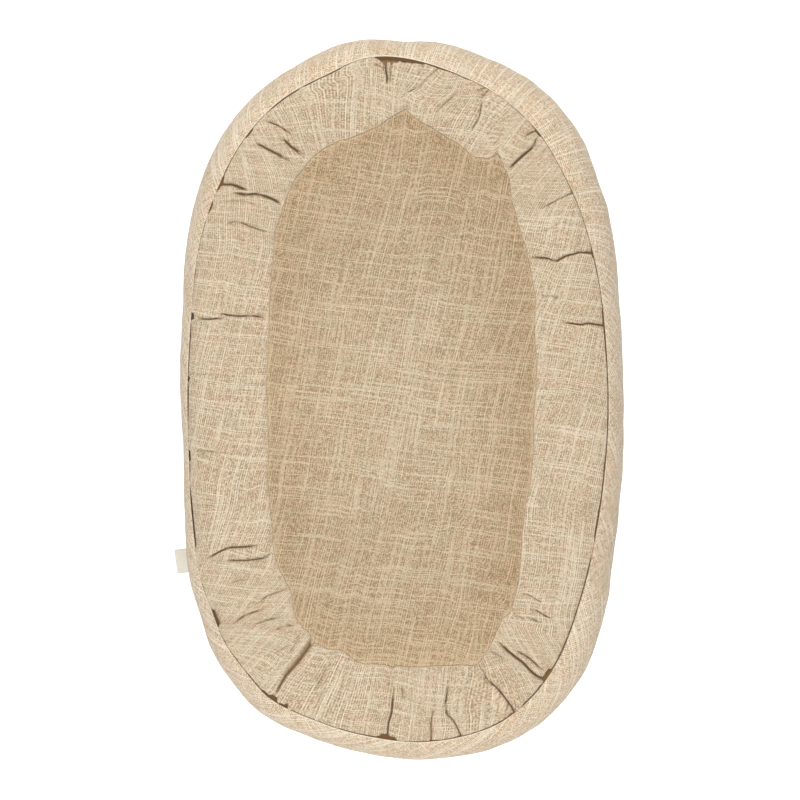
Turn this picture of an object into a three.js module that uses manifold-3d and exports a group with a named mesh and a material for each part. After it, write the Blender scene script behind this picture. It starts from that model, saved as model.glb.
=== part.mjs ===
// Infant lounger: a soft oval nest with a padded wall all round a flat, thinly padded floor.
// A gathered top sheet runs from a seam on the wall's outer shoulder, over the wall and across the floor.
// A bias-cut side band closes the outside, and a padded base with a lengthwise zip closes the underside.
// Inside are a ring-shaped bumper and a flat mattress, each in a casing of its own.
// Millimetres, +Z up, +Y towards the head end, with the origin under the middle of the whole part.
import * as THREE from 'three';
import { mergeVertices } from 'three/addons/utils/BufferGeometryUtils.js';
import Module from 'manifold-3d';

const wasm = await Module();
wasm.setup();

// Driving dimensions of the cover
const coverLength = 741;
const coverWidth = 457;
const wallHeight = 100;
const widestHeight = 40;
const basePanelInset = 15;
const mattressThickness = 16;

// Thicknesses of cloth and wadding
const sheetCloth = 1.2;
const sheetFullness = 4.5;
const sheetSeamDrop = 1.5;
const sheetFoldWidth = 12;
const sheetFoldShoulder = 0.6;
const sheetFootRise = 7;
const sheetFootReach = 8;
const bandThickness = 6;
const coverEase = 2.3;
const basePanelCloth = 2;
const baseWaddingThickness = 6;
const casingCloth = 1;
const bumperSlack = 1.2;
const mattressTuck = 3;

// Clearances between neighbours
const seatGap = 0.3;
const panelGap = 0.3;
const sliderGap = 0.4;
const cutOverrun = 5;

// Side label
const labelWidth = 25;
const labelShow = 13;
const labelThickness = 1;
const labelLift = 0.3;
const labelAroundShare = 0.6675;

// Zip in the base
const zipLength = 480;
const zipOpeningWidth = 36;
const zipEndRoom = 18;
const facingCloth = 0.8;
const facingOverlap = 6;
const facingSlope = 4.5;
const facingWidth = 14.3;
const tapeWidth = 12;
const tapeCloth = 0.6;
const coilWidth = 2.2;
const coilHeight = 2.2;
const coilSplit = 1.1;
const stopLength = 2.5;
const sliderLength = 12;
const sliderWidth = 9.2;
const sliderNose = 6;
const sliderPlate = 0.8;
const sliderFlangeWidth = 1;
const sliderPostWidth = 0.5;
const sliderPostLength = 3;
const bridgeLength = 7;
const bridgeWidth = 2.2;
const bridgeBar = 0.8;
const bridgeOpening = 1.8;
const bridgeLeg = 1;
const floorClearance = 0.4;
const pullLength = 22;
const pullWidth = 7;
const pullThickness = 1;
const pullPin = 1.2;
const pullSideGap = 0.4;
const pullHole = 3;

// How finely the curves are cut
const stationSpacing = 54;
const outlineSamples = 720;

// The wall in plan, clockwise from the head as seen from above. Each row holds the outermost point,
// the inner lip's point (shares of half the cover's width and length) and how far the top seam lies
// from the first towards the second.
const wallPlanShares = [
  [0.0, 0.997, 0.01, 0.812, 0.24], [0.264, 0.978, 0.165, 0.747, 0.29],
  [0.517, 0.914, 0.31, 0.69, 0.32], [0.72, 0.808, 0.456, 0.66, 0.4],
  [0.855, 0.663, 0.498, 0.578, 0.35], [0.932, 0.505, 0.544, 0.45, 0.265],
  [0.982, 0.285, 0.603, 0.275, 0.2], [1.0, 0.007, 0.609, 0.005, 0.16],
  [0.991, -0.216, 0.59, -0.205, 0.18], [0.955, -0.438, 0.54, -0.405, 0.22],
  [0.91, -0.602, 0.508, -0.558, 0.285], [0.815, -0.758, 0.438, -0.652, 0.285],
  [0.643, -0.886, 0.372, -0.715, 0.265], [0.409, -0.967, 0.272, -0.74, 0.21],
  [0.097, -1.0, 0.093, -0.74, 0.175], [-0.214, -0.975, -0.14, -0.735, 0.178],
  [-0.472, -0.922, -0.3, -0.698, 0.178], [-0.634, -0.872, -0.4, -0.672, 0.185],
  [-0.729, -0.814, -0.437, -0.64, 0.185], [-0.856, -0.7, -0.485, -0.585, 0.163],
  [-0.914, -0.594, -0.517, -0.518, 0.132], [-0.964, -0.488, -0.567, -0.452, 0.122],
  [-0.982, -0.321, -0.598, -0.3, 0.083], [-0.986, -0.154, -0.603, -0.154, 0.06],
  [-1.0, 0.04, -0.607, 0.043, 0.08], [-0.986, 0.291, -0.598, 0.271, 0.105],
  [-0.968, 0.458, -0.58, 0.416, 0.157], [-0.905, 0.619, -0.535, 0.535, 0.22],
  [-0.783, 0.766, -0.458, 0.633, 0.244], [-0.594, 0.886, -0.359, 0.697, 0.25],
  [-0.359, 0.969, -0.2, 0.738, 0.25], [-0.187, 1.0, -0.097, 0.775, 0.22],
];

// The sheet's main folds: place at the seam and at the lip (shares of the way round), and depth.
const foldShares = [
  [0.0505, 0.0525, 0.7], [0.0943, 0.103, 1], [0.1365, 0.14, 0.7], [0.171, 0.1684, 1],
  [0.21, 0.205, 0.9], [0.4033, 0.4064, 1], [0.4342, 0.4409, 0.8], [0.4677, 0.4708, 0.7],
  [0.5099, 0.5104, 1], [0.5758, 0.5775, 1], [0.668, 0.666, 0.9], [0.7906, 0.7947, 0.9],
  [0.8432, 0.8426, 0.6], [0.8612, 0.8658, 1], [0.8926, 0.8983, 0.7], [0.9915, 0.9915, 1],
];

// Heights that follow from the sizes above, counted up from the surface that the lounger stands on
const waddingBottom = basePanelCloth + seatGap;
const waddingTop = waddingBottom + baseWaddingThickness;
const bridgeTop = floorClearance + bridgeBar + bridgeOpening;
const outerPlateTop = bridgeTop + sliderPlate;
const coilBottom = outerPlateTop + sliderGap;
const coilTop = coilBottom + coilHeight;
const innerPlateBottom = coilTop + sliderGap;
const innerPlateTop = innerPlateBottom + sliderPlate;
const tapeBottom = (coilBottom + coilTop - tapeCloth) / 2;
const facingTop = tapeBottom - seatGap;
const bumperBottom = waddingTop + seatGap;
const mattressBottom = Math.max(waddingTop, innerPlateTop) + seatGap;
const mattressTop = mattressBottom + mattressThickness;
const floorTop = mattressTop + seatGap + sheetCloth;
const casingInset = Math.max(bandThickness, sheetFullness + sheetCloth) + coverEase;
const fillInset = casingInset + casingCloth + bumperSlack;

// Roundness of the wall's section: 1 is an ellipse, and less is boxier. The well's side is the steeper.
const shoulderPower = 0.9;
const lipPower = 0.7;
const footPower = 0.45;
const bandFootAngle = THREE.MathUtils.degToRad(-80);
const rowAngle = THREE.MathUtils.degToRad(30);

const cloth = (color, roughness) =>
  new THREE.MeshStandardMaterial({ color, roughness, metalness: 0 });
const linen = cloth(0xcfb593, 0.92);
const linenShade = cloth(0xc7ab87, 0.92);
const lining = cloth(0xe9e2d2, 0.9);
const wadding = cloth(0xf4f1ea, 0.95);
const tapeCotton = cloth(0xe2dfd5, 0.85);
const zipCloth = cloth(0xcdb797, 0.8);
const zipPlastic = cloth(0xc3ab88, 0.45);
const zipMetal = new THREE.MeshStandardMaterial({ color: 0xb9b4aa, roughness: 0.35, metalness: 1 });

// Closed curve through the rows of a table, one column at a time
function columnAt(column, row) {
  const count = wallPlanShares.length;
  const whole = Math.floor(row);
  const t = row - whole;
  const [a, b, c, d] = [-1, 0, 1, 2].map((k) => wallPlanShares[(whole + k + count) % count][column]);
  return b + (t / 2) * (c - a + t * (2 * a - 5 * b + 4 * c - d + t * (3 * (b - c) + d - a)));
}

function wallAtRow(row) {
  const outer = new THREE.Vector2((columnAt(0, row) * coverWidth) / 2, (columnAt(1, row) * coverLength) / 2);
  const lip = new THREE.Vector2((columnAt(2, row) * coverWidth) / 2, (columnAt(3, row) * coverLength) / 2);
  const width = outer.distanceTo(lip);
  const inward = lip.clone().sub(outer).normalize();
  return { outer, inward, width, seamShare: columnAt(4, row) };
}

// Rows of the table against the length of the outline walked so far
const outlineWalk = [];
{
  let walked = 0;
  let last = wallAtRow(0).outer;
  for (let i = 0; i <= outlineSamples; i += 1) {
    const row = (i / outlineSamples) * wallPlanShares.length;
    const here = wallAtRow(row).outer;
    walked += here.distanceTo(last);
    outlineWalk.push({ row, walked });
    last = here;
  }
}
const perimeter = outlineWalk[outlineSamples].walked;

function wallAt(share) {
  const target = (share - Math.floor(share)) * perimeter;
  const next = Math.max(1, outlineWalk.findIndex((step) => step.walked >= target));
  const [a, b] = [outlineWalk[next - 1], outlineWalk[next]];
  return wallAtRow(THREE.MathUtils.mapLinear(target, a.walked, b.walked, a.row, b.row));
}

const signedPower = (value, power) => Math.sign(value) * Math.abs(value) ** power;

// A point of the plan at a distance in from the outline
function planPoint(place, distance) {
  return place.outer.clone().addScaledVector(place.inward, distance);
}

// The angle of the wall's section at which the top seam runs. Angle 0 is the widest line outside, a
// quarter turn the crown, a half turn the lip, and three quarters the foot.
function seamAngle(place) {
  return Math.acos(signedPower(1 - 2 * place.seamShare, 1 / shoulderPower));
}

// Stations round the wall: three to a fold, and more between. A station is one line of the sheet, so it
// has its own place at the seam and at the lip, and how deep the sheet lies there.
const stations = [];
{
  const halfFold = sheetFoldWidth / 2 / perimeter;
  const shoulder = sheetFoldShoulder / sheetFullness;
  const addStation = (atSeam, atLip, depth) =>
    stations.push({ atSeam, atLip, depth, seam: seamAngle(wallAt(atSeam)) });
  foldShares.forEach(([atSeam, atLip, depth], i) => {
    addStation(atSeam - halfFold, atLip - halfFold, shoulder);
    addStation(atSeam, atLip, depth);
    addStation(atSeam + halfFold, atLip + halfFold, shoulder);
    const wrap = i + 1 === foldShares.length ? 1 : 0;
    const [nextSeam, nextLip] = foldShares[(i + 1) % foldShares.length];
    const between = Math.max(0, Math.ceil(((nextSeam + wrap - atSeam) * perimeter) / stationSpacing) - 1);
    for (let k = 1; k <= between; k += 1) {
      const t = k / (between + 1);
      addStation(
        THREE.MathUtils.lerp(atSeam + halfFold, nextSeam + wrap - halfFold, t),
        THREE.MathUtils.lerp(atLip + halfFold, nextLip + wrap - halfFold, t),
        0,
      );
    }
  });
}

// Where a station's line runs at an angle: it leans from the seam to the lip, and back under the foot
function placeAt(station, angle) {
  const over = THREE.MathUtils.clamp((angle - station.seam) / (Math.PI - station.seam), 0, 1);
  const under = THREE.MathUtils.clamp((angle - Math.PI) / (Math.PI / 2), 0, 1);
  return wallAt(THREE.MathUtils.lerp(station.atSeam, station.atLip, over - under));
}

// A point of the wall's section. An inset shrinks the section, and bottom is where its foot rests.
function wallPoint(station, angle, inset, bottom) {
  const place = placeAt(station, angle);
  const half = place.width / 2;
  const up = Math.sin(angle) >= 0;
  const topPower = Math.cos(angle) >= 0 ? shoulderPower : lipPower;
  const power = up ? topPower : footPower;
  const reach = up ? wallHeight - widestHeight - inset : widestHeight - bottom;
  const distance = half - (half - inset) * signedPower(Math.cos(angle), power);
  const plan = planPoint(place, distance);
  return new THREE.Vector3(plan.x, plan.y, widestHeight + reach * signedPower(Math.sin(angle), power));
}

// A closed surface from points and faces, turned so that its faces point out
function closedGeometry(points, faces) {
  const volume = faces.reduce((sum, [a, b, c]) =>
    sum + points[a].dot(new THREE.Vector3().crossVectors(points[b], points[c])), 0);
  const index = faces.flatMap(([a, b, c]) => (volume < 0 ? [a, c, b] : [a, b, c]));
  const geometry = new THREE.BufferGeometry().setFromPoints(points);
  geometry.setIndex(index);
  return geometry;
}

const quad = (a, b, c, d) => [[a, b, c], [a, c, d]];

// A solid ring swept through closed sections, one to a station
function ringSolid(sections) {
  const around = sections.length;
  const across = sections[0].length;
  const faces = [];
  for (let i = 0; i < around; i += 1) {
    for (let j = 0; j < across; j += 1) {
      const [here, there] = [i * across, ((i + 1) % around) * across];
      const next = (j + 1) % across;
      faces.push(...quad(here + j, there + j, there + next, here + next));
    }
  }
  return closedGeometry(sections.flat(), faces);
}

// A sheet over the whole plan: two skins of rings that close at a middle point, joined at the rim
function sheetSolid(upperRings, upperMiddle, lowerRings, lowerMiddle) {
  const around = upperRings[0].length;
  const points = [...upperRings.flat(), ...lowerRings.flat(), upperMiddle, lowerMiddle];
  const lowerStart = upperRings.length * around;
  const middle = points.length - 2;
  const faces = [];
  const skin = (start, rings, centre, flip) => {
    const add = (list) => faces.push(...list.map(([a, b, c]) => (flip ? [a, c, b] : [a, b, c])));
    for (let i = 0; i < around; i += 1) {
      const next = (i + 1) % around;
      for (let r = 0; r + 1 < rings; r += 1) {
        const [a, b] = [start + r * around, start + (r + 1) * around];
        add(quad(a + i, a + next, b + next, b + i));
      }
      const inner = start + (rings - 1) * around;
      add([[inner + i, inner + next, centre]]);
    }
  };
  skin(0, upperRings.length, middle, false);
  skin(lowerStart, lowerRings.length, middle + 1, true);
  for (let i = 0; i < around; i += 1) {
    const next = (i + 1) % around;
    faces.push(...quad(i, lowerStart + i, lowerStart + next, next));
  }
  return closedGeometry(points, faces);
}

// Booleans
function toSolid(geometry) {
  const bare = geometry.clone();
  bare.deleteAttribute('normal');
  bare.deleteAttribute('uv');
  const merged = mergeVertices(bare);
  return new wasm.Manifold(new wasm.Mesh({
    numProp: 3,
    vertProperties: new Float32Array(merged.attributes.position.array),
    triVerts: new Uint32Array(merged.index.array),
  }));
}

function toGeometry(solid) {
  const mesh = solid.getMesh();
  const geometry = new THREE.BufferGeometry();
  geometry.setAttribute('position', new THREE.BufferAttribute(new Float32Array(mesh.vertProperties), 3));
  geometry.setIndex(new THREE.BufferAttribute(new Uint32Array(mesh.triVerts), 1));
  return geometry;
}

// A box given by its lowest and highest corners
function boxBetween(low, high) {
  const size = low.map((value, axis) => high[axis] - value);
  const centre = low.map((value, axis) => (high[axis] + value) / 2);
  return new THREE.BoxGeometry(...size).translate(...centre);
}

const boxSolid = (low, high) => toSolid(boxBetween(low, high));

// A flat plate of a given outline between two heights
function plate(outline, bottom, top) {
  const geometry = new THREE.ExtrudeGeometry(new THREE.Shape(outline), {
    depth: top - bottom,
    bevelEnabled: false,
  });
  return geometry.translate(0, 0, bottom);
}

// A strip of constant section along the zip. The section is in x and z.
function stripAlongY(section, from, to) {
  const shape = new THREE.Shape(section.map(([x, z]) => new THREE.Vector2(x, -z)));
  const geometry = new THREE.ExtrudeGeometry(shape, { depth: to - from, bevelEnabled: false });
  return geometry.rotateX(-Math.PI / 2).translate(0, from, 0);
}

const part = new THREE.Group();

function add(name, geometry, material) {
  const flat = geometry.index ? geometry.toNonIndexed() : geometry;
  flat.computeVertexNormals();
  const mesh = new THREE.Mesh(flat, material);
  mesh.name = name;
  part.add(mesh);
  return mesh;
}

// Side band: a padded strip from the base up the outside to the top seam
function sideBand() {
  return ringSolid(stations.map((station) => {
    const climb = [1 / 3, 2 / 3, 1].map((share) => share * station.seam);
    const angles = [bandFootAngle, -2 * rowAngle, -rowAngle, 0, ...climb];
    const skin = angles.map((angle) => wallPoint(station, angle, 0, waddingBottom));
    const back = angles.map((angle) =>
      wallPoint(station, angle, bandThickness, waddingBottom + bandThickness));
    return [...skin, ...back.reverse()];
  }));
}

// Top sheet: from the top seam over the crown and the lip, down the well's side and across the floor
function topSheet() {
  const acrossShares = [0, 0.07, 0.27, 0.5, 0.75, 1];
  const foldDepthShares = [0, 1, 1, 0.9, 0.7, 0.4];
  const skins = [0, sheetCloth].map((under) => {
    const rings = acrossShares.map((share, r) => stations.map((station) => {
      const start = station.seam + (2 * seatGap) / (wallAt(station.atSeam).width / 2);
      const angle = THREE.MathUtils.lerp(start, Math.PI, share);
      const inset = r === 0 ? sheetSeamDrop : station.depth * foldDepthShares[r] * sheetFullness;
      return wallPoint(station, angle, inset + under, bumperBottom);
    }));
    const lips = stations.map((station) => wallAt(station.atLip));
    const foot = lips.map((place) => {
      const plan = planPoint(place, place.width - under);
      return new THREE.Vector3(plan.x, plan.y, floorTop + sheetFootRise - under);
    });
    const floor = lips.map((place) => {
      const plan = planPoint(place, place.width + sheetFootReach);
      return new THREE.Vector3(plan.x, plan.y, floorTop - under);
    });
    return { rings: [...rings, foot, floor], centre: new THREE.Vector3(0, 0, floorTop - under) };
  });
  return sheetSolid(skins[0].rings, skins[0].centre, skins[1].rings, skins[1].centre);
}

// Bumper: fibre filling in a casing of an outer and an inner panel, sewn along the crown and the foot
function bumperFill() {
  const steps = Math.round((2 * Math.PI) / rowAngle);
  return ringSolid(stations.map((station) =>
    Array.from({ length: steps }, (_, i) =>
      wallPoint(station, i * rowAngle - Math.PI / 2, fillInset, bumperBottom + casingCloth + seatGap))));
}

function bumperCasing(side) {
  const steps = Math.round(Math.PI / rowAngle);
  const start = side === 'outer' ? -Math.PI / 2 : Math.PI / 2;
  return ringSolid(stations.map((station) => {
    const trim = panelGap / (wallAt(station.atSeam).width / 2);
    const angles = Array.from({ length: steps + 1 }, (_, i) => start + i * rowAngle);
    angles[0] += trim;
    angles[steps] -= trim;
    const skin = angles.map((angle) => wallPoint(station, angle, casingInset, bumperBottom));
    const back = angles.map((angle) =>
      wallPoint(station, angle, casingInset + casingCloth, bumperBottom + casingCloth));
    return [...skin, ...back.reverse()];
  }));
}

// Mattress: a foam core in a casing of a top and a bottom tray
const mattressOutline = (inset) => stations.map((station) => {
  const place = wallAt(station.atLip);
  return planPoint(place, place.width - mattressTuck + inset);
});

function mattressCore() {
  const clear = casingCloth + seatGap;
  return plate(mattressOutline(clear), mattressBottom + clear, mattressTop - clear);
}

function mattressCasing(half) {
  const seamHeight = (mattressBottom + mattressTop) / 2;
  const shell = toSolid(plate(mattressOutline(0), mattressBottom, mattressTop)).subtract(
    toSolid(plate(mattressOutline(casingCloth), mattressBottom + casingCloth, mattressTop - casingCloth)));
  const reach = [coverWidth, coverLength];
  const [low, high] = half === 'top'
    ? [seamHeight + panelGap / 2, mattressTop + cutOverrun]
    : [mattressBottom - cutOverrun, seamHeight - panelGap / 2];
  return toGeometry(shell.intersect(boxSolid([-reach[0], -reach[1], low], [reach[0], reach[1], high])));
}

// Base: a left and a right panel, each backed with wadding, with the zip between them
const zipHalf = zipLength / 2;
const openingHalfWidth = zipOpeningWidth / 2;
const openingHalfLength = zipHalf + zipEndRoom;
const tapeInner = coilSplit / 2 + coilWidth + panelGap;
const channelHalfWidth = Math.max(openingHalfWidth + facingOverlap, tapeInner + tapeWidth) + seatGap;
const channelHalfLength = openingHalfLength + facingOverlap + seatGap;

// One side's half of a plate, with the room for the zip cut out of its inner edge
function baseHalf(side, outline, bottom, top, roomHalfWidth, roomHalfLength) {
  const [low, high] = [bottom - cutOverrun, top + cutOverrun];
  const room = boxSolid([-roomHalfWidth, -roomHalfLength, low], [roomHalfWidth, roomHalfLength, high]);
  const half = boxSolid([panelGap / 2, -coverLength, low], [coverWidth, coverLength, high]);
  const kept = side === 'right' ? half : half.mirror([1, 0, 0]);
  return toGeometry(toSolid(plate(outline, bottom, top)).subtract(room).intersect(kept));
}

function basePanel(side) {
  const outline = stations.map((station) => planPoint(wallAt(station.atSeam), basePanelInset));
  return baseHalf(side, outline, 0, basePanelCloth, openingHalfWidth, openingHalfLength);
}

function baseWadding(side) {
  const bandBack = Math.cos(bandFootAngle) ** footPower;
  const outline = stations.map((station) => {
    const place = wallAt(station.atSeam);
    const half = place.width / 2;
    return planPoint(place, half - (half - bandThickness) * bandBack + seatGap);
  });
  return baseHalf(side, outline, waddingBottom, waddingTop, channelHalfWidth, channelHalfLength);
}

// Zip: its outer face is the one underneath, so the slider's bridge and pull hang below the coils
const sliderStart = zipHalf - stopLength - seatGap - sliderLength / 2;

const mirrored = (section, side) => section.map(([x, z]) => [side === 'left' ? -x : x, z]);

function zipFacing(side) {
  const outerX = openingHalfWidth + facingOverlap;
  const bendX = openingHalfWidth - panelGap;
  const riseX = bendX - facingSlope;
  const innerX = outerX - facingWidth;
  const low = waddingBottom;
  const high = facingTop - facingCloth;
  const section = [
    [outerX, low], [bendX, low], [riseX, high], [innerX, high],
    [innerX, facingTop], [riseX, facingTop], [bendX, low + facingCloth], [outerX, low + facingCloth],
  ];
  return stripAlongY(mirrored(section, side), -openingHalfLength + seatGap, openingHalfLength - seatGap);
}

function rectangleStrip(side, x0, x1, z0, z1, halfLength) {
  return stripAlongY(mirrored([[x0, z0], [x1, z0], [x1, z1], [x0, z1]], side), -halfLength, halfLength);
}

const zipTape = (side) => rectangleStrip(
  side, tapeInner, tapeInner + tapeWidth, tapeBottom, tapeBottom + tapeCloth, channelHalfLength - seatGap);

const zipCoil = (side) => rectangleStrip(
  side, coilSplit / 2, coilSplit / 2 + coilWidth, coilBottom, coilTop, zipHalf - stopLength - seatGap);

function zipTopStop(side) {
  const [near, far] = [coilSplit / 2, coilSplit / 2 + coilWidth];
  const [low, high] = side === 'left' ? [-far, -near] : [near, far];
  return boxBetween([low, zipHalf - stopLength, coilBottom], [high, zipHalf, coilTop]);
}

function zipBottomStop() {
  const reach = coilSplit / 2 + coilWidth;
  return boxBetween([-reach, -zipHalf, coilBottom], [reach, -zipHalf + stopLength, coilTop]);
}

// The slider is made about its own middle: two tapered plates, a post, side flanges and a bridge
function sliderOutline() {
  const [halfWidth, halfNose, halfLength] = [sliderWidth / 2, sliderNose / 2, sliderLength / 2];
  const taper = sliderLength / 4;
  return [
    [-halfWidth, halfLength], [halfWidth, halfLength], [halfWidth, -taper],
    [halfNose, -halfLength], [-halfNose, -halfLength], [-halfWidth, -taper],
  ].map(([x, y]) => new THREE.Vector2(x, y));
}

function zipSlider() {
  const outline = sliderOutline();
  const halfLength = sliderLength / 2;
  let body = toSolid(plate(outline, bridgeTop, outerPlateTop))
    .add(toSolid(plate(outline, innerPlateBottom, innerPlateTop)))
    .add(boxSolid(
      [-sliderPostWidth / 2, halfLength - sliderPostLength, bridgeTop],
      [sliderPostWidth / 2, halfLength, innerPlateTop],
    ));
  const flange = (low, high) => {
    const box = boxSolid(
      [sliderWidth / 2 - sliderFlangeWidth, -sliderLength / 4, low],
      [sliderWidth / 2, halfLength, high],
    );
    return box.add(box.mirror([1, 0, 0]));
  };
  body = body.add(flange(bridgeTop, tapeBottom - seatGap));
  body = body.add(flange(tapeBottom + tapeCloth + seatGap, innerPlateTop));
  const bar = boxSolid(
    [-bridgeWidth / 2, -bridgeLength / 2, floorClearance],
    [bridgeWidth / 2, bridgeLength / 2, floorClearance + bridgeBar],
  );
  const leg = boxSolid(
    [-bridgeWidth / 2, bridgeLength / 2 - bridgeLeg, floorClearance],
    [bridgeWidth / 2, bridgeLength / 2, outerPlateTop],
  );
  return toGeometry(body.add(bar).add(leg).add(leg.mirror([0, 1, 0])));
}

// The pull is made about its pin: a tongue towards the foot end, two arms and the pin between them
function zipPull() {
  const armInner = bridgeWidth / 2 + pullSideGap;
  const armOuter = pullWidth / 2;
  const root = Math.hypot(bridgeLength / 2, bridgeBar + bridgeOpening / 2) + pullSideGap;
  const half = pullThickness / 2;
  const tongue = new THREE.Shape();
  tongue.moveTo(-armOuter, -root);
  tongue.lineTo(-armOuter, -(pullLength - armOuter));
  tongue.absarc(0, -(pullLength - armOuter), armOuter, Math.PI, Math.PI * 2, false);
  tongue.lineTo(armOuter, -root);
  const hole = new THREE.Path();
  hole.absarc(0, -(pullLength - armOuter), pullHole / 2, 0, Math.PI * 2, true);
  tongue.holes.push(hole);
  const blade = new THREE.ExtrudeGeometry(tongue, {
    depth: pullThickness,
    bevelEnabled: false,
    curveSegments: 10,
  });
  const arm = boxSolid([armInner, -root - half, -half], [armOuter, pullPin / 2, half]);
  const pin = new THREE.CylinderGeometry(pullPin / 2, pullPin / 2, armInner + armOuter, 12);
  pin.rotateZ(Math.PI / 2);
  const body = toSolid(blade.translate(0, 0, -half));
  return toGeometry(body.add(arm).add(arm.mirror([1, 0, 0])).add(toSolid(pin)));
}

// Side label: a bare folded tape, sewn to the base panel's edge and lying out past the wall
function sideLabel() {
  const place = wallAt(labelAroundShare);
  const length = basePanelInset - panelGap + labelShow;
  const label = boxBetween([0, -labelWidth / 2, 0], [length, labelWidth / 2, labelThickness]);
  label.rotateZ(Math.atan2(place.inward.y, place.inward.x));
  const tip = planPoint(place, -labelShow);
  return label.translate(tip.x, tip.y, labelLift);
}

add('side_band', sideBand(), linen);
add('top_sheet', topSheet(), linen);
add('side_label', sideLabel(), tapeCotton);
add('bumper_casing_outer', bumperCasing('outer'), lining);
add('bumper_casing_inner', bumperCasing('inner'), lining);
add('bumper_fill', bumperFill(), wadding);
add('mattress_casing_top', mattressCasing('top'), lining);
add('mattress_casing_bottom', mattressCasing('bottom'), lining);
add('mattress_core', mattressCore(), wadding);
for (const side of ['left', 'right']) {
  add(`base_panel_${side}`, basePanel(side), linenShade);
  add(`base_wadding_${side}`, baseWadding(side), wadding);
  add(`zip_facing_${side}`, zipFacing(side), linenShade);
  add(`zip_tape_${side}`, zipTape(side), zipCloth);
  add(`zip_coil_${side}`, zipCoil(side), zipPlastic);
  add(`zip_top_stop_${side}`, zipTopStop(side), zipMetal);
}
add('zip_bottom_stop', zipBottomStop(), zipMetal);
add('zip_slider', zipSlider(), zipMetal).position.set(0, sliderStart, 0);
add('zip_pull', zipPull(), zipMetal).position.set(
  0, sliderStart, floorClearance + bridgeBar + bridgeOpening / 2);

// The label stands out on one side, so the whole part is set over its own middle
const extent = new THREE.Box3().setFromObject(part, true);
const centre = extent.getCenter(new THREE.Vector3());
part.position.set(-centre.x, -centre.y, -extent.min.z);

export default part;
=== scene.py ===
# Infant lounger, dressed: the gathered linen cover, its side band, label, base and zip, and the inserts
# inside. Sizes are in millimetres and turn into metres where a mesh is made. +Z is up and +Y points to the
# head end.
import math

import bmesh
import bpy
import numpy as np
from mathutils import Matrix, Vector


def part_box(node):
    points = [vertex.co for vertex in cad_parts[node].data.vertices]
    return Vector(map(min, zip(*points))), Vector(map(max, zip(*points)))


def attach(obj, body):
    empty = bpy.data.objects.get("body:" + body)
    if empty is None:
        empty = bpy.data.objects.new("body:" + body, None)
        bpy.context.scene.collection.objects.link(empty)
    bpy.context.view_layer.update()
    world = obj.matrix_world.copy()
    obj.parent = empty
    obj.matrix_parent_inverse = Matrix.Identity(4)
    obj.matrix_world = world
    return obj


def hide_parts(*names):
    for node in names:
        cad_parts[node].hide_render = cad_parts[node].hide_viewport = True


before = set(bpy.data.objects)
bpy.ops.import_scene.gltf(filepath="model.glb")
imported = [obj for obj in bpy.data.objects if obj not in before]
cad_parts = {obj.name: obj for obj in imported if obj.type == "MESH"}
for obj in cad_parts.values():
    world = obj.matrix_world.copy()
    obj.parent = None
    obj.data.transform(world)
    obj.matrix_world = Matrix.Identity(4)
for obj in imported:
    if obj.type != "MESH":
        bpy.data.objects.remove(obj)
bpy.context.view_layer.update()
bpy.ops.object.select_all(action="DESELECT")

MM = 0.001

# Sizes of the cover, as in the part's source
cover_length = 741.0
cover_width = 457.0
wall_height = 100.0
widest_height = 40.0
base_panel_inset = 15.0
base_panel_cloth = 2.0
sheet_cloth = 1.2
band_thickness = 6.0
casing_inset = 8.3
casing_cloth = 1.0
fill_gap = 1.2
bumper_bottom = 8.6
mattress_bottom = 8.6
mattress_top = 24.6
mattress_tuck = 3.0
floor_top = 26.1
lip_tuck = 4.6
foot_curve = 1.5
wadding_bottom = 2.3
wadding_top = 8.3
seat_gap = 0.3
panel_gap = 0.3
zip_half = 240.0
stop_length = 2.5
opening_half = (18.0, 258.0)
channel_half = (24.3, 264.3)
coil_inner = 0.4
coil_outer = 2.75
coil_levels = (4.2, 6.4)
tape_inner = 3.05
tape_width = 12.0
tape_levels = (5.0, 5.6)
facing_section = [
    (24.0, 2.3), (21.0, 2.3), (17.7, 2.3), (16.2, 2.8), (14.7, 3.4), (13.2, 3.9), (9.7, 3.9),
    (9.7, 4.7), (13.2, 4.7), (14.7, 4.2), (16.2, 3.6), (17.7, 3.1), (21.0, 3.1), (24.0, 3.1),
]
label_share = 0.6665
label_width = 25.0
label_reach = (-11.2, 14.7)
label_levels = (0.3, 1.3)

# Roundness of the wall's section, as in the part's source
shoulder_power = 0.9
lip_power = 0.7
sheet_lip_power = 0.2
sheet_lip_height = 88.0
foot_power = 0.45
band_foot_angle = math.radians(-80)

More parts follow.
